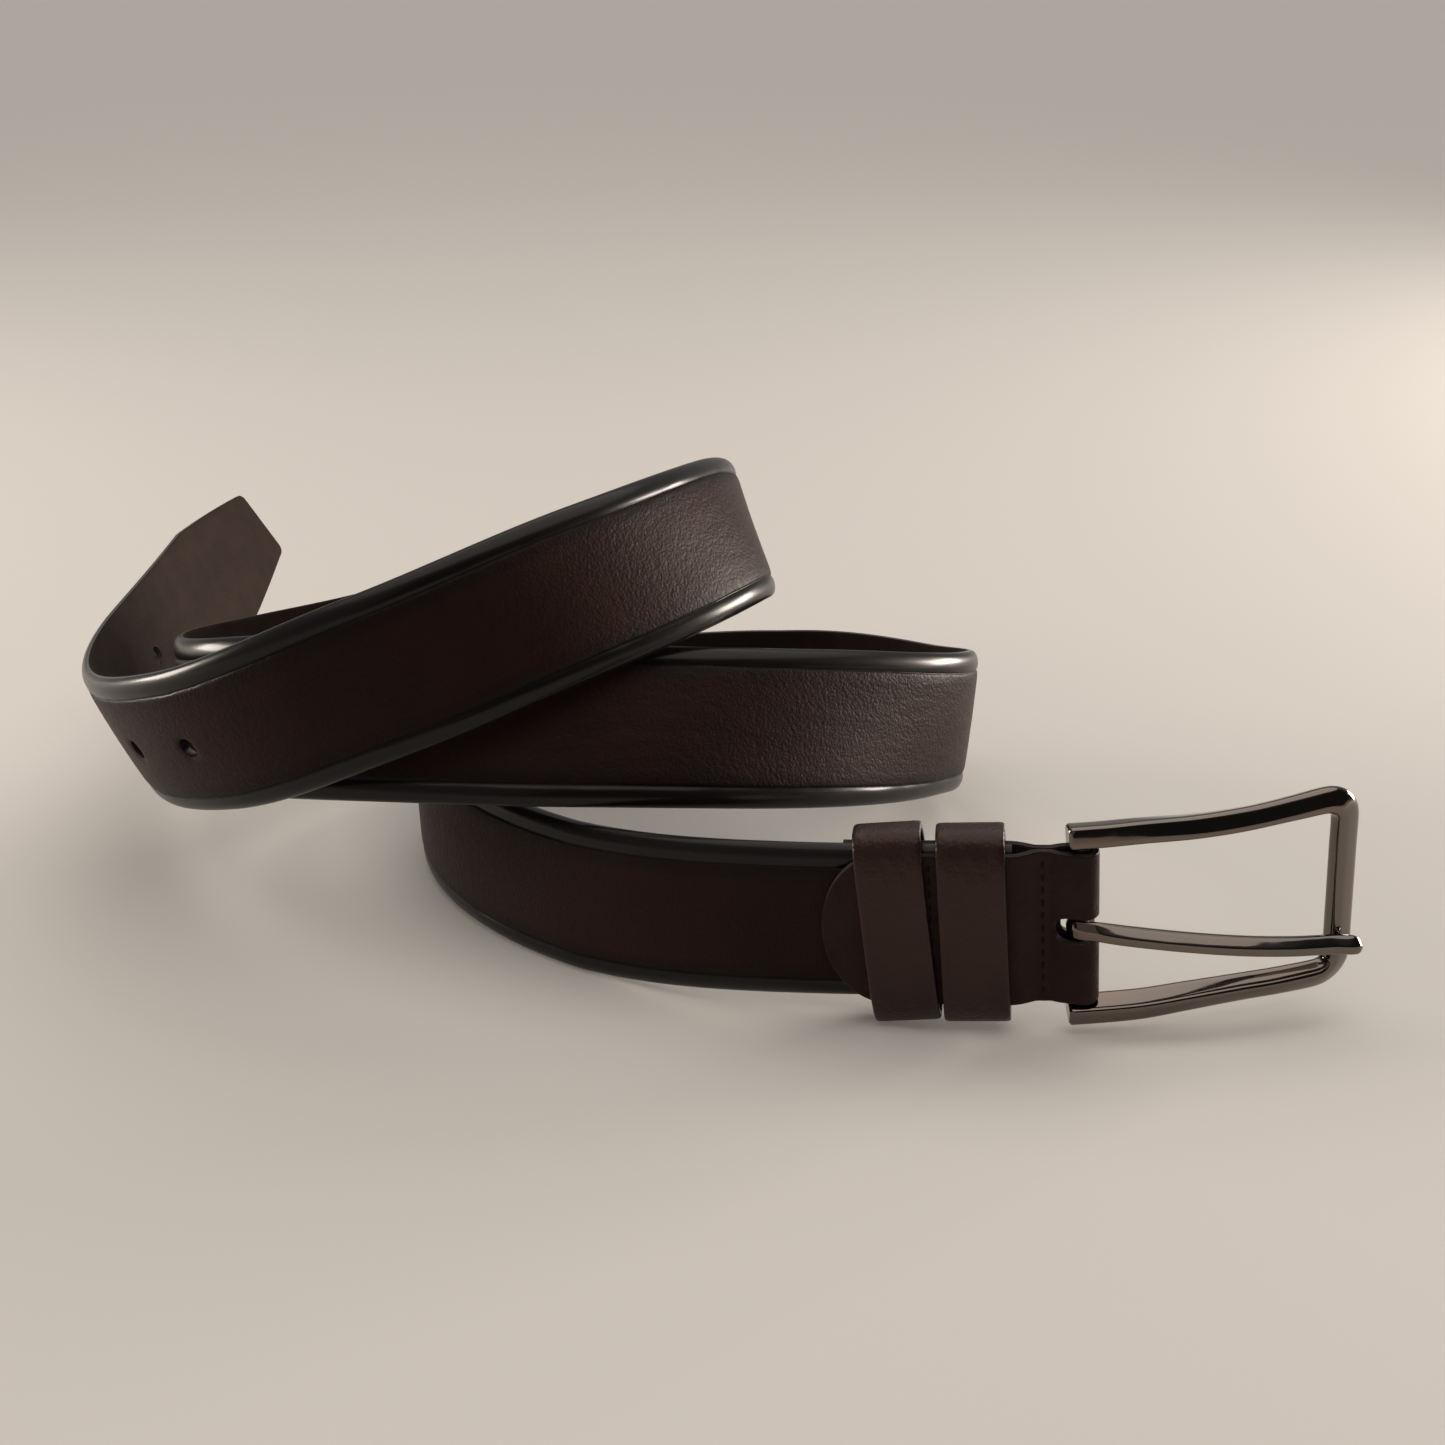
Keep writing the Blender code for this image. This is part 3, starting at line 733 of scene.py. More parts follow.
def build_grain(materials):
    half = np.array(FACE_PROFILE)
    s, v, keep, deep = strap_grid(half[:, 0])
    outward = HALF - deep
    n = np.interp(outward, half[:, 0], half[:, 1])
    crease = np.exp(-(((outward - 12.9) / 0.6) ** 2))
    n = n - crease * 0.05 * (np.sin(s * 0.83) + np.sin(s * 0.37 + 2) + 0.6 * np.sin(s * 1.9))
    n = n - 0.32 * np.exp(-np.maximum(from_hole(s, v), 0) / 0.45)
    under = np.where(np.abs(v) <= CORE_HALF + 0.2, CORE_TOP + 0.02, FACE_FLOOR)
    under = np.where(deep < 1.2, FACE_FLOOR, under)
    inner_v = np.clip(v, -HALF + 0.06, HALF - 0.06)
    return strap_layer("strap_grain", (s, v, keep, deep), n, under, inner_v, materials)


def build_core(materials):
    s, v, keep, deep = strap_grid(HOLE_COLUMNS + [7.0, 9.5, CORE_HALF])
    rows = (strap_rows() > STRAP_START + 6) & (strap_rows() < LENGTH - 9)
    keep = keep & rows[:-1, None]
    grid = (s, v, keep, deep)
    return strap_layer("strap_core", grid, CORE_TOP, LINING_TOP + 0.02, v, materials)


def build_lining(materials):
    half = HOLE_COLUMNS + [7.0, 9.5, 12.0, 14.5, 16.4, 16.9, 17.2, 17.42]
    s, v, keep, deep = strap_grid(half)
    n = np.interp(deep, [0.08, 0.3, 0.6, 1.1], [LINING_BACK + up for up in (0.24, 0.08, 0.02, 0)])
    n = n + 0.22 * np.exp(-np.maximum(from_hole(s, v), 0) / 0.4)
    return strap_layer("strap_lining_skin", (s, v, keep, deep), LINING_TOP, n, v, materials)


# ---------------------------------------------------------------- chape and its thread


def chape_line():
    """Middle line of the chape in (s, n), from the back leaf's end round the bar to the front leaf's."""
    turn = BAR_RADIUS + 0.3 + 0.65 + 0.25
    near, back, front = CHAPE_NEAR, CHAPE_BACK, CHAPE_FRONT
    line = [(BACK_LEAF_END, back), (34, back), (24, back), (18, back), (16.2, back + 0.1)]
    line += [(14, (back - near) / 2 - 0.1), (12.1, -near - 0.08), (PINCH, -near)]
    line += [(9.1, -near - 0.05), (7.2, -1.65)]
    for step in range(9):
        angle = math.radians(-115 - 130 * step / 8)
        line.append((BAR_AT + turn * math.cos(angle), turn * math.sin(angle)))
    line += [(7.2, 1.65), (9.1, near + 0.05), (PINCH, near), (12.1, near + 0.08)]
    line += [(14, (front + near) / 2 + 0.1)]
    line += [(16.2, front - 0.05), (18, front + 0.02), (24, front), (32, front), (44, front)]
    return line + [(FRONT_LEAF_END - 4, front), (FRONT_LEAF_END, front)]


def build_chape(materials):
    line, run = through(chape_line(), None)
    turning = int(np.argmin(line[:, 0]))
    centres = [
        np.interp(-SLOT_CENTRE, -line[:turning, 0], run[:turning]),
        np.interp(SLOT_FRONT, line[turning:, 0], run[turning:]),
    ]
    reach = SLOT_REACH
    stops = [0, 1.2, centres[0] - reach, centres[0], centres[1], centres[1] + reach]
    stops += [run[-1] - LEAF_ROUND, run[-1] - 2]
    rows = []
    for low, high, step in zip(stops, stops[1:], (0.2, 1.2) + (SLOT_CELL,) * 3 + (1.2, 0.7)):
        rows += evenly(low, high, step)[:-1]
    rows += [run[-1] - back for back in (2, 1.5, 1.1, 0.75, 0.5, 0.3, 0.15, 0.06, 0)]
    half = [SLOT_CELL * i for i in range(11)] + [8, 10.5, 13, 15, 16.2, 16.8, 17.05, CHAPE_HALF]
    p, v = np.meshgrid(np.array(rows), both_sides(half), indexing="ij")
    middle_p = (p[:-1, :-1] + p[1:, 1:]) / 2
    middle_v = (v[:-1, :-1] + v[1:, 1:]) / 2
    slot = (middle_p > centres[0] - SLOT_HALF) & (middle_p < centres[1] + SLOT_HALF)
    keep = ~(slot & (np.abs(middle_v) < SLOT_HALF))
    for centre, side in zip(centres, (-1, 1)):
        away, near_v = rounded_opening(p - centre, v, SLOT_HALF, reach)
        beyond = (p - centre) * side > 0
        p = np.where(beyond, centre + away, p)
        v = np.where(beyond, near_v, v)
    left = run[-1] - p
    inside = (LEAF_ROUND - np.minimum(left, LEAF_ROUND)) / LEAF_ROUND
    bulge = np.sqrt(np.maximum(1 - inside**2, 0))
    narrow = np.where(left < LEAF_ROUND, np.maximum(bulge, 0.02), 1.0)
    v = v * narrow
    pucker = np.exp(-(((np.interp(p, run, line[:, 0]) - PINCH) / 2.4) ** 2))
    v = v * (1 + 0.010 * pucker)

    def along_line(at):
        return np.stack([np.interp(at, run, line[:, k]) for k in (0, 1)], -1)

    at_s, at_n = along_line(p)[..., 0], along_line(p)[..., 1]
    ahead = along_line(p + 0.05) - along_line(p - 0.05)
    ahead /= np.linalg.norm(ahead, axis=-1, keepdims=True)
    side_s, side_n = -ahead[..., 1], ahead[..., 0]
    deep = np.minimum(CHAPE_HALF * narrow - np.abs(v), np.minimum(left, p))
    thin = 0.16 * np.exp(-np.maximum(deep, 0) / 0.18)
    dimple = 0.10 * pucker * (0.5 + 0.5 * np.cos(2 * math.pi * v / 2.9)) * (np.abs(v) < 16)
    up = CHAPE / 2 - thin - dimple
    down = CHAPE / 2 - 0.5 * thin
    return skin(
        "chape_leather",
        on_strap(at_s + side_s * up, v, at_n + side_n * up),
        on_strap(at_s - side_s * down, v, at_n - side_n * down),
        keep,
        np.stack([p, v, up], -1),
        np.stack([p, v, -down], -1),
        materials,
        sharp=50,
    )


def new_socket(tree, name, kind, in_out="INPUT"):
    return tree.interface.new_socket(name, in_out=in_out, socket_type="NodeSocket" + kind)


def thread_row_tree(material):
    """Geometry Nodes: stitches from Start to End, each an arch of thread that dips into the leather."""
    tree = bpy.data.node_groups.new("thread_row", "GeometryNodeTree")
    new_socket(tree, "Geometry", "Geometry", "OUTPUT")
    kinds = {"Start": "Vector", "End": "Vector", "Outwards": "Vector"}
    kinds |= {"Stitches": "Int", "Stitch length": "Float", "Thread radius": "Float"}
    inputs = {name: new_socket(tree, name, kind) for name, kind in kinds.items()}
    nodes = Nodes(tree)
    given = tree.nodes.new("NodeGroupInput")
    start, end, outwards, stitches, length, radius = (
        Value(nodes, given.outputs[name]) for name in inputs
    )
    line = nodes.add("GeometryNodeCurvePrimitiveLine", None, {"Start": start, "End": end})
    sockets = {"Curve": line, "Count": stitches}
    dots = nodes.add("GeometryNodeCurveToPoints", {"mode": "COUNT"}, sockets)
    run = nodes.add("ShaderNodeVectorMath", {"operation": "SUBTRACT"}, {0: end, 1: start})
    turn = nodes.add("FunctionNodeAlignRotationToVector", {"axis": "X"}, {"Vector": run})
    turn = nodes.add(
        "FunctionNodeAlignRotationToVector",
        {"axis": "Z", "pivot_axis": "X"},
        {"Rotation": turn, "Vector": outwards},
    )
    low = nodes.add("ShaderNodeCombineXYZ", None, {"X": length * -0.5, "Z": radius * -1.6})
    high = nodes.add("ShaderNodeCombineXYZ", None, {"Z": radius * 1.5})
    far = nodes.add("ShaderNodeCombineXYZ", None, {"X": length * 0.5, "Z": radius * -1.6})
    arch = nodes.add(
        "GeometryNodeCurveQuadraticBezier",
        None,
        {"Resolution": 10, "Start": low, "Middle": high, "End": far},
    )
    ring = nodes.add("GeometryNodeCurvePrimitiveCircle", None, {"Resolution": 8, "Radius": radius})
    stitch = nodes.add(
        "GeometryNodeCurveToMesh", None, {"Curve": arch, "Profile Curve": ring, "Fill Caps": True}
    )
    row = nodes.add(
        "GeometryNodeInstanceOnPoints", None, {"Points": dots, "Instance": stitch, "Rotation": turn}
    )
    row = nodes.add("GeometryNodeRealizeInstances", None, {"Geometry": row})
    row = nodes.add("GeometryNodeSetShadeSmooth", None, {0: row})
    row = nodes.add("GeometryNodeSetMaterial", None, {"Geometry": row, "Material": material})
    tree.links.new(row.socket, tree.nodes.new("NodeGroupOutput").inputs[0])
    return tree, inputs


def join_meshes(name, meshes):
    """One object at the origin that holds several meshes."""
    shape = bmesh.new()
    for mesh in meshes:
        shape.from_mesh(mesh)
    bmesh.ops.remove_doubles(shape, verts=shape.verts, dist=1e-7)
    bmesh.ops.recalc_face_normals(shape, faces=shape.faces)
    joined = bpy.data.meshes.new(name)
    for material in meshes[0].materials:
        joined.materials.append(material)
    shape.to_mesh(joined)
    shape.free()
    joined.shade_smooth()
    made = bpy.data.objects.new(name, joined)
    bpy.context.scene.collection.objects.link(made)
    return made


def build_thread(name, s, sides, thread, tree, inputs):
    """Stitch rows across the strap at s, one on each leather face of height n and direction outward."""
    meshes = []
    for n, outward in sides:
        reach = thread.pitch / MM * (thread.stitches - 1) / 2
        start, end = on_strap(s, np.array([-reach, reach]), n)
        holder = bpy.data.objects.new(name + "_row", bpy.data.meshes.new(name + "_row"))
        bpy.context.scene.collection.objects.link(holder)
        rows = holder.modifiers.new("rows", "NODES")
        rows.node_group = tree
        values = {
            "Start": start, "End": end, "Outwards": axes_at(s)[3] * outward,
            "Stitches": thread.stitches, "Stitch length": thread.pitch * 0.86,
            "Thread radius": thread.gauge / 2,
        }
        for socket, value in values.items():
            plain = value if np.isscalar(value) else [float(x) for x in value]
            rows[inputs[socket].identifier] = plain
        bpy.context.view_layer.update()
        graph = bpy.context.evaluated_depsgraph_get()
        meshes.append(bpy.data.meshes.new_from_object(holder.evaluated_get(graph)))
        bpy.data.objects.remove(holder, do_unlink=True)
    return join_meshes(name, meshes)


# ---------------------------------------------------------------- keepers


def signed_power(value, power):
    return np.sign(value) * np.abs(value) ** power


def build_keeper(name, place, materials):
    """The band, open by a butt joint at the middle of its back."""
    gap = 0.9
    angle = np.radians(np.linspace(-90 + gap, 270 - gap, 241))
    high, deep = KEEPER_HALF_HEIGHT - KEEPER / 2, KEEPER_HALF_DEPTH - KEEPER / 2
    across, through_strap = signed_power(np.cos(angle), 0.52), signed_power(np.sin(angle), 0.7)
    loop = np.stack([high * across, deep * through_strap], -1)
    run = np.concatenate([[0], np.cumsum(np.linalg.norm(np.diff(loop, axis=0), axis=1))])
    even = np.linspace(0, run[-1], 190)
    loop = np.stack([np.interp(even, run, loop[:, k]) for k in (0, 1)], -1)
    ahead = headings(loop)
    outward = np.stack([ahead[:, 1], -ahead[:, 0]], -1)
    half = KEEPER_WIDTH / 2
    columns = both_sides([0, 2, 4, 5.4, 6.0, 6.3, 6.5, 6.62, half])
    edge = half - np.abs(columns)
    up = KEEPER / 2 - 0.42 * np.exp(-edge / 0.28)
    down = KEEPER / 2 - 0.3 * np.exp(-edge / 0.2)

    def surface(offset):
        v = loop[:, None, 0] + outward[:, None, 0] * offset[None, :]
        n = loop[:, None, 1] + outward[:, None, 1] * offset[None, :]
        a = np.broadcast_to(columns[None, :], v.shape)
        return placed(place, np.stack([a, n, v], -1))

    keep = np.ones((len(loop) - 1, len(columns) - 1), bool)
    p, a = np.meshgrid(even, columns, indexing="ij")
    return skin(
        name,
        surface(up),
        surface(-down),
        keep,
        np.stack([p, a, np.broadcast_to(up, p.shape)], -1),
        np.stack([p, a, np.broadcast_to(-down, p.shape)], -1),
        materials,
        sharp=60,
    )


def build_staple(name, place, material):
    """The wire that closes a keeper's butt joint, its legs pushed through the band."""
    wire = 0.4
    deep = -KEEPER_HALF_DEPTH - 0.3 - wire
    leg = STAPLE_HALF
    bend = [(deep + 2.2, -leg), (deep + 0.5, -leg), (deep, -leg + 0.5)]
    line, _ = through(bend + [(deep, 0)] + [(y, -z) for y, z in reversed(bend)], 0.25)
    turns = np.linspace(0, 2 * math.pi, 12, endpoint=False)
    rings = [
        [
            (wire * math.cos(turn), y - dz * wire * math.sin(turn), z + dy * wire * math.sin(turn))
            for turn in turns
        ]
        for (y, z), (dy, dz) in zip(line, headings(line))
    ]
    return sweep(name, placed(place, rings), [material])


# ---------------------------------------------------------------- buckle


def frame_line():
    """Middle of the frame's bar in (x, z), from the upper heel end round the toe to the lower one."""
    half = 2.5
    heel = HEEL_HEIGHT / 2 - half
    toe = TOE_HEIGHT / 2 - half
    end = FRAME_LENGTH - HEEL_PAST_BAR - half
    corner = TOE_CORNER - half
    line = [(-HEEL_PAST_BAR, heel), (3.5, heel), (12, heel)]
    line += [(22, heel - 0.5), (32, toe - 0.6), (42, toe - 0.2)]
    for step in range(6):
        angle = math.radians(90 - 18 * step)
        x, z = corner * math.cos(angle), corner * math.sin(angle)
        line.append((end - corner + x, toe - corner + z))
    line += [(end, toe - corner - 6), (end, 4)]
    return line + [(x, -z) for x, z in reversed(line)]


def section(count, power):
    """A rounded square with sides of 2, as (p, q) with p outwards and q to the front."""
    turn = np.linspace(0, 2 * math.pi, count, endpoint=False) + math.pi / count
    c, s = np.cos(turn), np.sin(turn)
    return np.stack([signed_power(c, 2 / power), signed_power(s, 2 / power)], -1)


def build_frame(place, materials):
    """Square at the two heel ends, then turning its face outwards and rounding towards the toe."""
    line, _ = through(frame_line(), 0.6)
    ahead = headings(line)
    outward = np.stack([-ahead[:, 1], ahead[:, 0]], -1)
    rings = []
    for (x, z), out in zip(line, outward):
        toeward = smoothstep(x, 4, 38)
        corner = smoothstep(x, 36, 50)
        twist = math.radians(16 + 11 * toeward)
        power = 5.2 - 1.2 * toeward - 0.6 * corner
        a = 2.35 + 0.1 * toeward + 0.25 * corner
        b = 2.75 - 0.35 * toeward
        loop = section(40, power) * (a, b)
        p = loop[:, 0] * math.cos(twist) + loop[:, 1] * math.sin(twist)
        q = loop[:, 1] * math.cos(twist) - loop[:, 0] * math.sin(twist)
        rings.append(np.stack([x + p * out[0], -q, z + p * out[1]], -1))
    rings = np.array(rings)
    for end in (0, -1):
        middle = rings[end].mean(axis=0)
        for shrink, shift in ((0.985, -0.12), (0.95, -0.22), (0.88, -0.28)):
            cap = middle + (rings[end] - middle) * shrink
            cap[:, 0] = rings[end][:, 0] + shift
            rings = np.concatenate([[cap], rings] if end == 0 else [rings, [cap]])
    rings[..., 1] += np.where(rings[..., 0] > 0, rings[..., 0] ** 2 / (2 * FRAME_CURVE), 0)
    return sweep("buckle_ring", placed(place, rings), materials)


def build_bar(place, material):
    reach = HEEL_HEIGHT / 2 - 1.5
    turns = np.linspace(0, 2 * math.pi, 32, endpoint=False)
    lower = [(1.3, -reach), (BAR_RADIUS, -reach + 0.2)]
    rings = [
        [(r * math.cos(turn), r * math.sin(turn), z) for turn in turns]
        for r, z in lower + [(r, -z) for r, z in reversed(lower)]
    ]
    return sweep("buckle_bar", placed(place, rings), [material])


def prong_line():
    """Middle line and thickness of the prong in (x, y, thickness), y to the back, from its curled end."""
    turn = BAR_RADIUS + 0.35 + 0.65
    line = []
    for step in range(10):
        angle = math.radians(25 + 225 * step / 9)
        line.append((turn * math.cos(angle), turn * math.sin(angle), 1.3))
    line[-1] = (-0.4, -turn - 0.1, 1.5)
    line += [(1.6, -turn - 0.5, 2.2), (4.5, -3.2, 2.9), (9, -3.3, 3.2)]
    line += [(20, -2.9, 3.3), (32, -1.6, 3.3), (42, 0.5, 3.2), (48, 2.3, 3.1), (51.5, 3.4, 3.0)]
    return line + [(PRONG_TIP - 2, 4.1, 2.9), (PRONG_TIP, 4.7, 2.7)]


PRONG_SECTION = (
    (-0.5, -0.82), (-0.5, 0.82), (-0.25, 1), (0.0, 0.98), (0.46, 0.22), (0.50, 0.05),
    (0.42, -0.78), (0.2, -1), (-0.25, -1),
)


def build_prong(place, materials):
    line, run = through(prong_line(), 0.5)
    ahead = headings(line[:, :2])
    loop = soften(PRONG_SECTION, 3, 0.18)
    fall = math.tan(math.radians(PRONG_DROOP))
    curled = 9.0
    left = run[-1] - run
    rings = []
    for i, (x, y, thick) in enumerate(line):
        out_x, out_y = ahead[i][1], -ahead[i][0]
        round_tip = math.sqrt(max(1 - (max(1.9 - left[i], 0) / 1.9) ** 2, 0.03))
        wide = PRONG_WIDTH / 2 * (0.35 + 0.65 * round_tip)
        thick = thick * (0.45 + 0.55 * round_tip)
        drop = fall * max(x - 2.0, 0) if run[i] > curled - 2 else 0.0
        rings.append(
            [(x + p * thick * out_x, y + p * thick * out_y, z * wide - drop) for p, z in loop]
        )
    return sweep("buckle_prong", placed(place, rings), materials)


# ---------------------------------------------------------------- settings


def colour_property(name, description, default):
    return FloatVectorProperty(
        name=name, description=description, default=default, subtype="COLOR", size=3, min=0, max=1
    )


def share_property(name, description, default):
    return FloatProperty(name=name, description=description, default=default, subtype="FACTOR")


def length_property(name, description, default):
    return FloatProperty(name=name, description=description, default=default, unit="LENGTH")


class StrapLook(bpy.types.PropertyGroup):
    panel: colour_property("Panel", "Colour of the raised middle panel", (0.018, 0.0066, 0.0054))
    bevel: colour_property("Bevel", "Colour of the burnished edges", (0.0045, 0.0038, 0.0036))
    edge: colour_property("Edge paint", "Colour of the painted edge", (0.010, 0.0075, 0.0065))
    lining: colour_property("Lining", "Colour of the lining", (0.016, 0.0094, 0.0070))
    # The filler's own brown, darkened further as painted shade: the walls of the prong holes show this
    # colour.
    core: colour_property("Core", "Colour of the bonded filler", (0.05, 0.034, 0.026))
    grain: length_property("Grain", "Width of one pebble of the grain", 0.0006)
    satin: share_property("Satin", "Roughness of the panel", 0.47)
    polish: share_property("Polish", "Roughness of the bevels", 0.34)
    sheen: share_property("Sheen", "How much the leather reflects", 0.12)


class FittingsLook(bpy.types.PropertyGroup):
    chape: colour_property("Chape", "Colour of the leather round the bar", (0.019, 0.0085, 0.0072))
    keeper: colour_property("Keepers", "Colour of the two bands", (0.022, 0.0080, 0.0064))
    raw: colour_property("Raw edge", "Colour of cut leather", (0.045, 0.032, 0.026))
    plate: colour_property("Plate", "Colour of the plated buckle", (0.17, 0.142, 0.126))
    polish: share_property("Polish", "Roughness of the plate", 0.06)


class ThreadLook(bpy.types.PropertyGroup):
    colour: colour_property("Thread", "Colour of the waxed thread", (0.008, 0.0036, 0.0030))
    stitches: IntProperty(name="Stitches", description="Stitches in a row", default=11, min=2)
    pitch: length_property("Pitch", "Length of one stitch", 0.0029)
    gauge: length_property("Gauge", "Thickness of the thread", 0.00062)


class StageLook(bpy.types.PropertyGroup):
    floor: colour_property("Floor", "Colour of the floor", (0.56, 0.525, 0.492))
    light: FloatProperty(name="Light", description="Strength of the overhead light", default=1.5, min=0)
    focal: FloatProperty(name="Focal length", description="Lens, on a 36 mm sensor", default=48.03)
    pitch: FloatProperty(
        name="Pitch",
        description="How far the camera looks down",
        default=math.radians(22.7),
        subtype="ANGLE",
    )
    distance: length_property("Distance", "From the camera to its target", 0.3987)


CAMERA_TARGET = (0.0114, -0.0725, 0.0566)


def look(kind):
    return getattr(bpy.context.scene, "belt_" + kind)


def adopt(piece, body, slot, *nodes):
    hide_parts(*nodes)
    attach(piece, body)


# ---------------------------------------------------------------- operators


class BELT_OT_strap(bpy.types.Operator):
    """Makes the grained face, the bonded core and the lining of the strap"""

    bl_idname = "belt.strap"
    bl_label = "Strap"

    def execute(self, context):
        strap = look("strap")
        edge = edge_leather(strap.edge)
        core = fibre_leather("bonded_core", strap.core)
        grain = build_grain([grain_leather(strap), edge, core])
        adopt(grain, "belt", "grain", "strap_face")
        adopt(build_core([core] * 3), "belt", "filler", "strap_filler")
        lining = build_lining([core, edge, lining_leather(strap)])
        adopt(lining, "belt", "lining", "strap_lining")
        return {"FINISHED"}


class BELT_OT_chape(bpy.types.Operator):
    """Makes the leather folded round the heel bar, with its prong slot and raw edges"""

    bl_idname = "belt.chape"
    bl_label = "Chape"

    def execute(self, context):
        fittings = look("fittings")
        leather = smooth_leather("chape_leather", fittings.chape, 0.42, 0.0006, 0.16, 0.14)
        raw = fibre_leather("raw_edge", fittings.raw, 0.0007)
        chape = build_chape([leather, raw, fibre_leather("flesh_side", fittings.raw)])
        adopt(chape, "belt", "chape", "chape")
        return {"FINISHED"}


class BELT_OT_thread(bpy.types.Operator):
    """Sews the two rows of stitches that hold the chape"""

    bl_idname = "belt.thread"
    bl_label = "Thread"

    def execute(self, context):
        thread = look("thread")
        tree, inputs = thread_row_tree(waxed_thread(thread.colour))
        at_pinch = CHAPE_NEAR + CHAPE / 2 - 0.1
        sides = ((at_pinch, 1), (-at_pinch, -1))
        row = build_thread("pinch_thread", PINCH, sides, thread, tree, inputs)
        adopt(row, "belt", "thread", "bar_stitches")
        half = CHAPE / 2 - 0.05
        sides = ((CHAPE_FRONT + half, 1), (CHAPE_BACK - half, -1))
        row = build_thread("leaf_thread", SECOND_ROW, sides, thread, tree, inputs)
        adopt(row, "belt", "thread", "leaf_stitches")
        bpy.data.node_groups.remove(tree)
        return {"FINISHED"}


class BELT_OT_keepers(bpy.types.Operator):
    """Makes the fixed and the free keeper, each closed at the back by a staple"""

    bl_idname = "belt.keepers"
    bl_label = "Keepers"

    def execute(self, context):
        fittings = look("fittings")
        band = smooth_leather("keeper_leather", fittings.keeper, 0.34, 0.0006, 0.36, 0.22)
        rim = edge_leather(shade(fittings.keeper, 0.5))
        flesh = fibre_leather("keeper_flesh", fittings.raw)
        steel = plain_steel()
        bands = (("fixed", FIXED_AT, FIXED_TILT, "belt"), ("free", FREE_AT, FREE_TILT, "keeper"))
        for kind, s, tilt, body in bands:
            place = strap_matrix(s) @ Matrix.Rotation(math.radians(tilt), 4, "Y")
            keeper = build_keeper(kind + "_band", place, [band, rim, flesh])
            adopt(keeper, body, "keeper", kind + "_keeper")
            staple = build_staple(kind + "_staple_wire", place, steel)
            adopt(staple, body, "staple_steel", kind + "_keeper_staple")
        return {"FINISHED"}


class BELT_OT_buckle(bpy.types.Operator):
    """Makes the plated frame and prong and the steel bar they turn on"""

    bl_idname = "belt.buckle"
    bl_label = "Buckle"

    def execute(self, context):
        place = buckle_matrix()
        plate = polished_metal(look("fittings"))
        adopt(build_frame(place, [plate]), "buckle", "metal", "buckle_frame")
        adopt(build_bar(place, plain_steel()), "buckle", "bar_steel", "heel_bar")
        adopt(build_prong(place, [plate]), "tongue", "metal", "prong")
        return {"FINISHED"}


def area_light(name, place, size, power):
    """A soft box beside the belt, turned to its middle."""
    data = bpy.data.lights.new(name, "AREA")
    data.shape = "RECTANGLE"
    data.size, data.size_y = size
    data.energy = power
    data.color = (1, 0.93, 0.85)
    made = bpy.data.objects.new(name, data)
    made.location = place
    made.rotation_euler = (Vector((0, 0, 0.05)) - Vector(place)).to_track_quat("-Z", "Y").to_euler()
    bpy.context.scene.collection.objects.link(made)


def sun_light(name, towards, spread, strength):
    data = bpy.data.lights.new(name, "SUN")
    data.energy = strength
    data.angle = math.radians(spread)
    data.color = (1.0, 0.96, 0.91)
    made = bpy.data.objects.new(name, data)
    made.rotation_euler = Vector(towards).to_track_quat("Z", "Y").to_euler()
    bpy.context.scene.collection.objects.link(made)


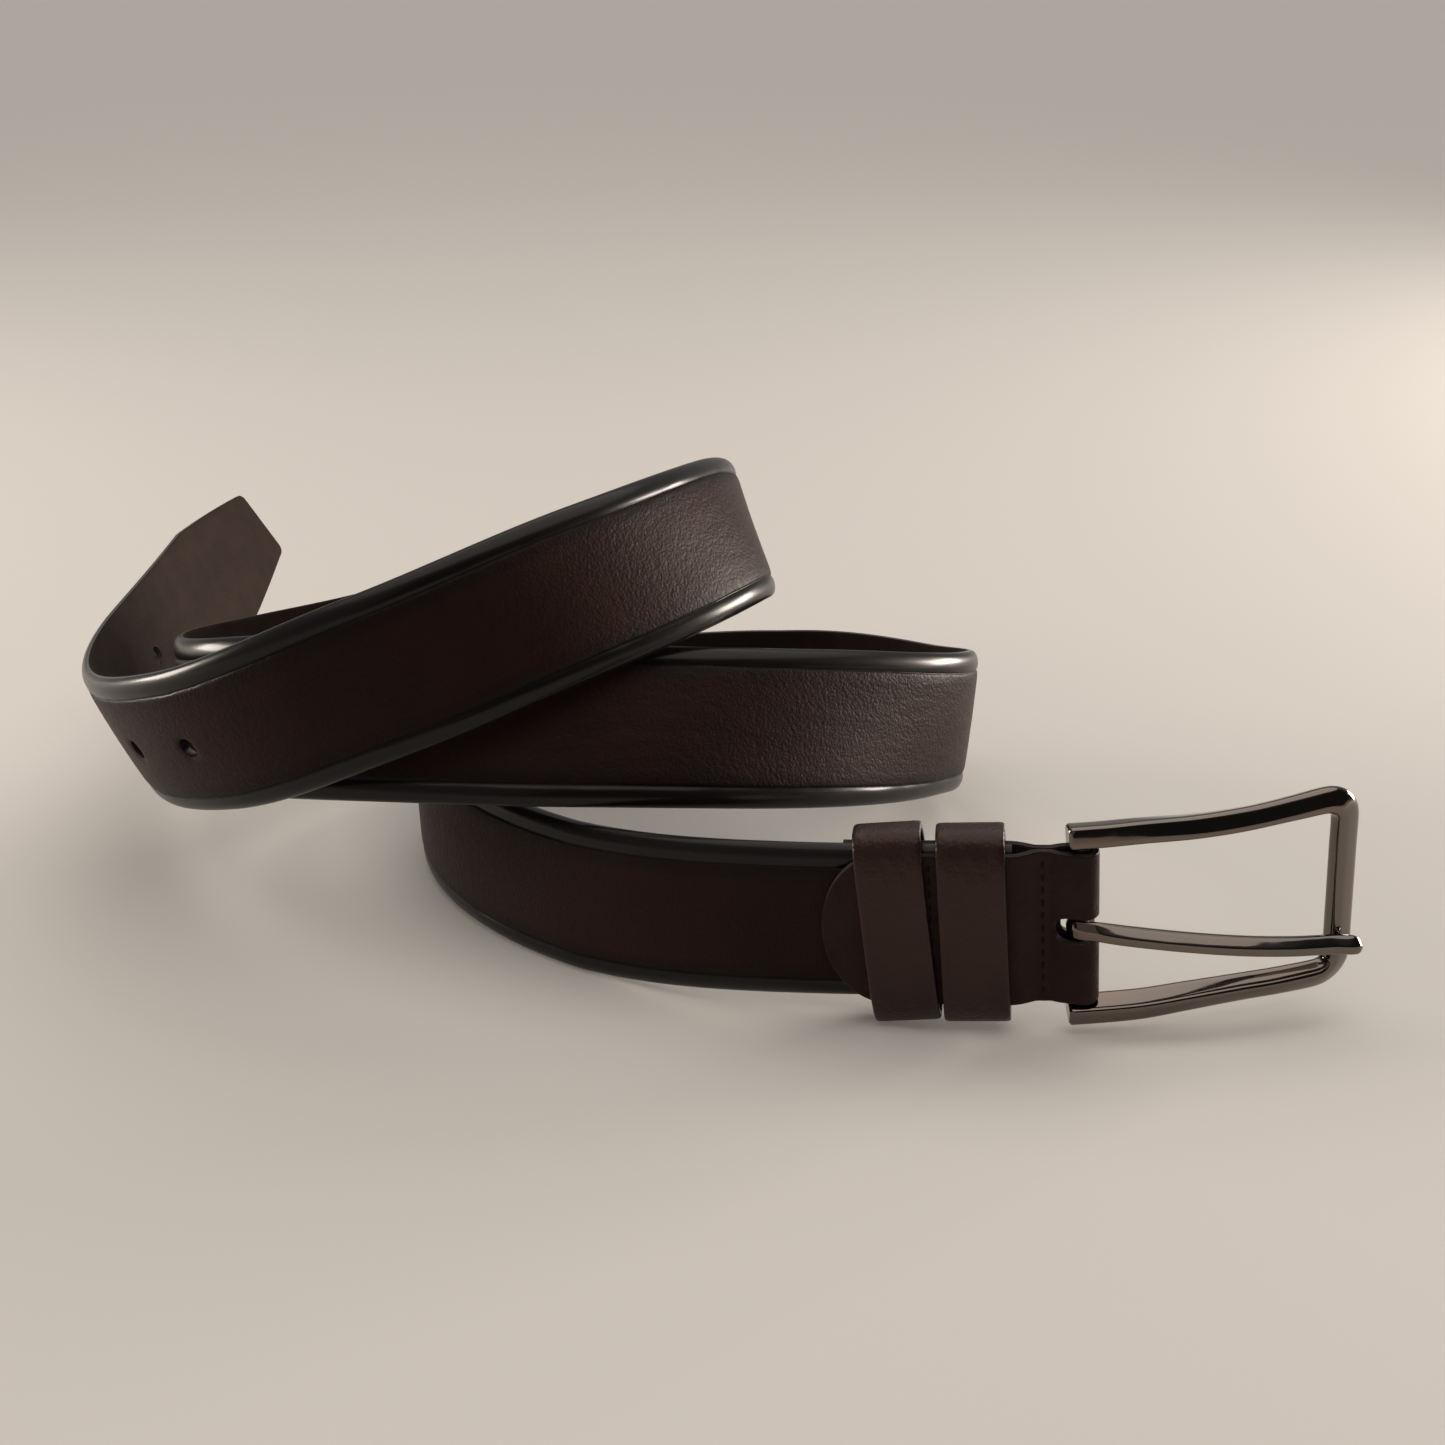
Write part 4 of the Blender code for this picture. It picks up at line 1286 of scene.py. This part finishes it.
class BELT_OT_stage(bpy.types.Operator):
    """Adds the pale floor, the soft lights and the camera"""

    bl_idname = "belt.stage"
    bl_label = "Stage"

    def execute(self, context):
        stage = look("stage")
        scene = context.scene
        scene.view_settings.view_transform = "Standard"
        self.add_floor(stage)
        self.add_world(scene)
        sun_light("overhead", (0.12, 0.02, 1.0), 85, stage.light)
        sun_light("front_key", (-0.5, -0.9, 0.42), 60, stage.light * 0.1)
        area_light("left_box", (-1.0, 0.1, 0.22), (0.4, 0.3), 10.0)
        area_light("right_box", (1.0, 0.33, 0.15), (0.5, 0.26), 18.0)
        data = bpy.data.cameras.new("camera")
        data.sensor_width = 36
        data.lens = stage.focal
        data.clip_start = 0.01
        camera = bpy.data.objects.new("camera", data)
        target = Vector(CAMERA_TARGET)
        back = Vector((0, -math.cos(stage.pitch), math.sin(stage.pitch)))
        camera.location = target + back * stage.distance
        camera.rotation_euler = (math.pi / 2 - stage.pitch, 0, 0)
        scene.collection.objects.link(camera)
        scene.camera = camera
        return {"FINISHED"}

    def add_floor(self, stage):
        bpy.ops.mesh.primitive_plane_add(size=30)
        floor = bpy.context.object
        floor.name = "floor"
        finish = {"Base Color": (*stage.floor, 1), "Roughness": 0.9, "Specular IOR Level": 0.1}
        floor.data.materials.append(new_material("pale_floor", finish)[0])

    def add_world(self, scene):
        world = bpy.data.worlds.new("studio")
        world.use_nodes = True
        scene.world = world
        nodes = Nodes(world.node_tree)
        back = world.node_tree.nodes["Background"]
        at = nodes.add("ShaderNodeTexCoord", None, None, out="Generated")
        towards = nodes.add("ShaderNodeSeparateXYZ", None, {0: at}, out="Y")
        height = nodes.add("ShaderNodeSeparateXYZ", None, {0: at}, out="Z")
        strength = 0.03 + nodes.rise(towards, 0.0, 0.7) * 0.3 + nodes.rise(height, 0.5, 0.95) * 0.3
        back.inputs["Color"].default_value = (1.0, 0.97, 0.93, 1)
        world.node_tree.links.new(strength.socket, back.inputs["Strength"])


class BELT_PT_panel(bpy.types.Panel):
    """Sidebar panel with the belt's settings and pieces"""

    bl_idname = "BELT_PT_panel"
    bl_label = "Coiled dress belt"
    bl_space_type = "VIEW_3D"
    bl_region_type = "UI"
    bl_category = "Belt"

    def draw(self, context):
        for kind, group in LOOKS:
            box = self.layout.box()
            for name in group.__annotations__:
                box.prop(look(kind), name)
        for step in STEPS:
            self.layout.operator(step.bl_idname)


LOOKS = (
    ("strap", StrapLook),
    ("fittings", FittingsLook),
    ("thread", ThreadLook),
    ("stage", StageLook),
)
STEPS = (
    BELT_OT_strap,
    BELT_OT_chape,
    BELT_OT_thread,
    BELT_OT_keepers,
    BELT_OT_buckle,
    BELT_OT_stage,
)


def register():
    for kind, group in LOOKS:
        bpy.utils.register_class(group)
        setattr(bpy.types.Scene, "belt_" + kind, PointerProperty(type=group))
    for step in STEPS + (BELT_PT_panel,):
        bpy.utils.register_class(step)


def unregister():
    for step in STEPS + (BELT_PT_panel,):
        bpy.utils.unregister_class(step)
    for kind, group in LOOKS:
        delattr(bpy.types.Scene, "belt_" + kind)
        bpy.utils.unregister_class(group)


def main():
    register()
    for step in STEPS:
        getattr(bpy.ops.belt, step.bl_idname.split(".")[1])()


if __name__ == "__main__":
    main()
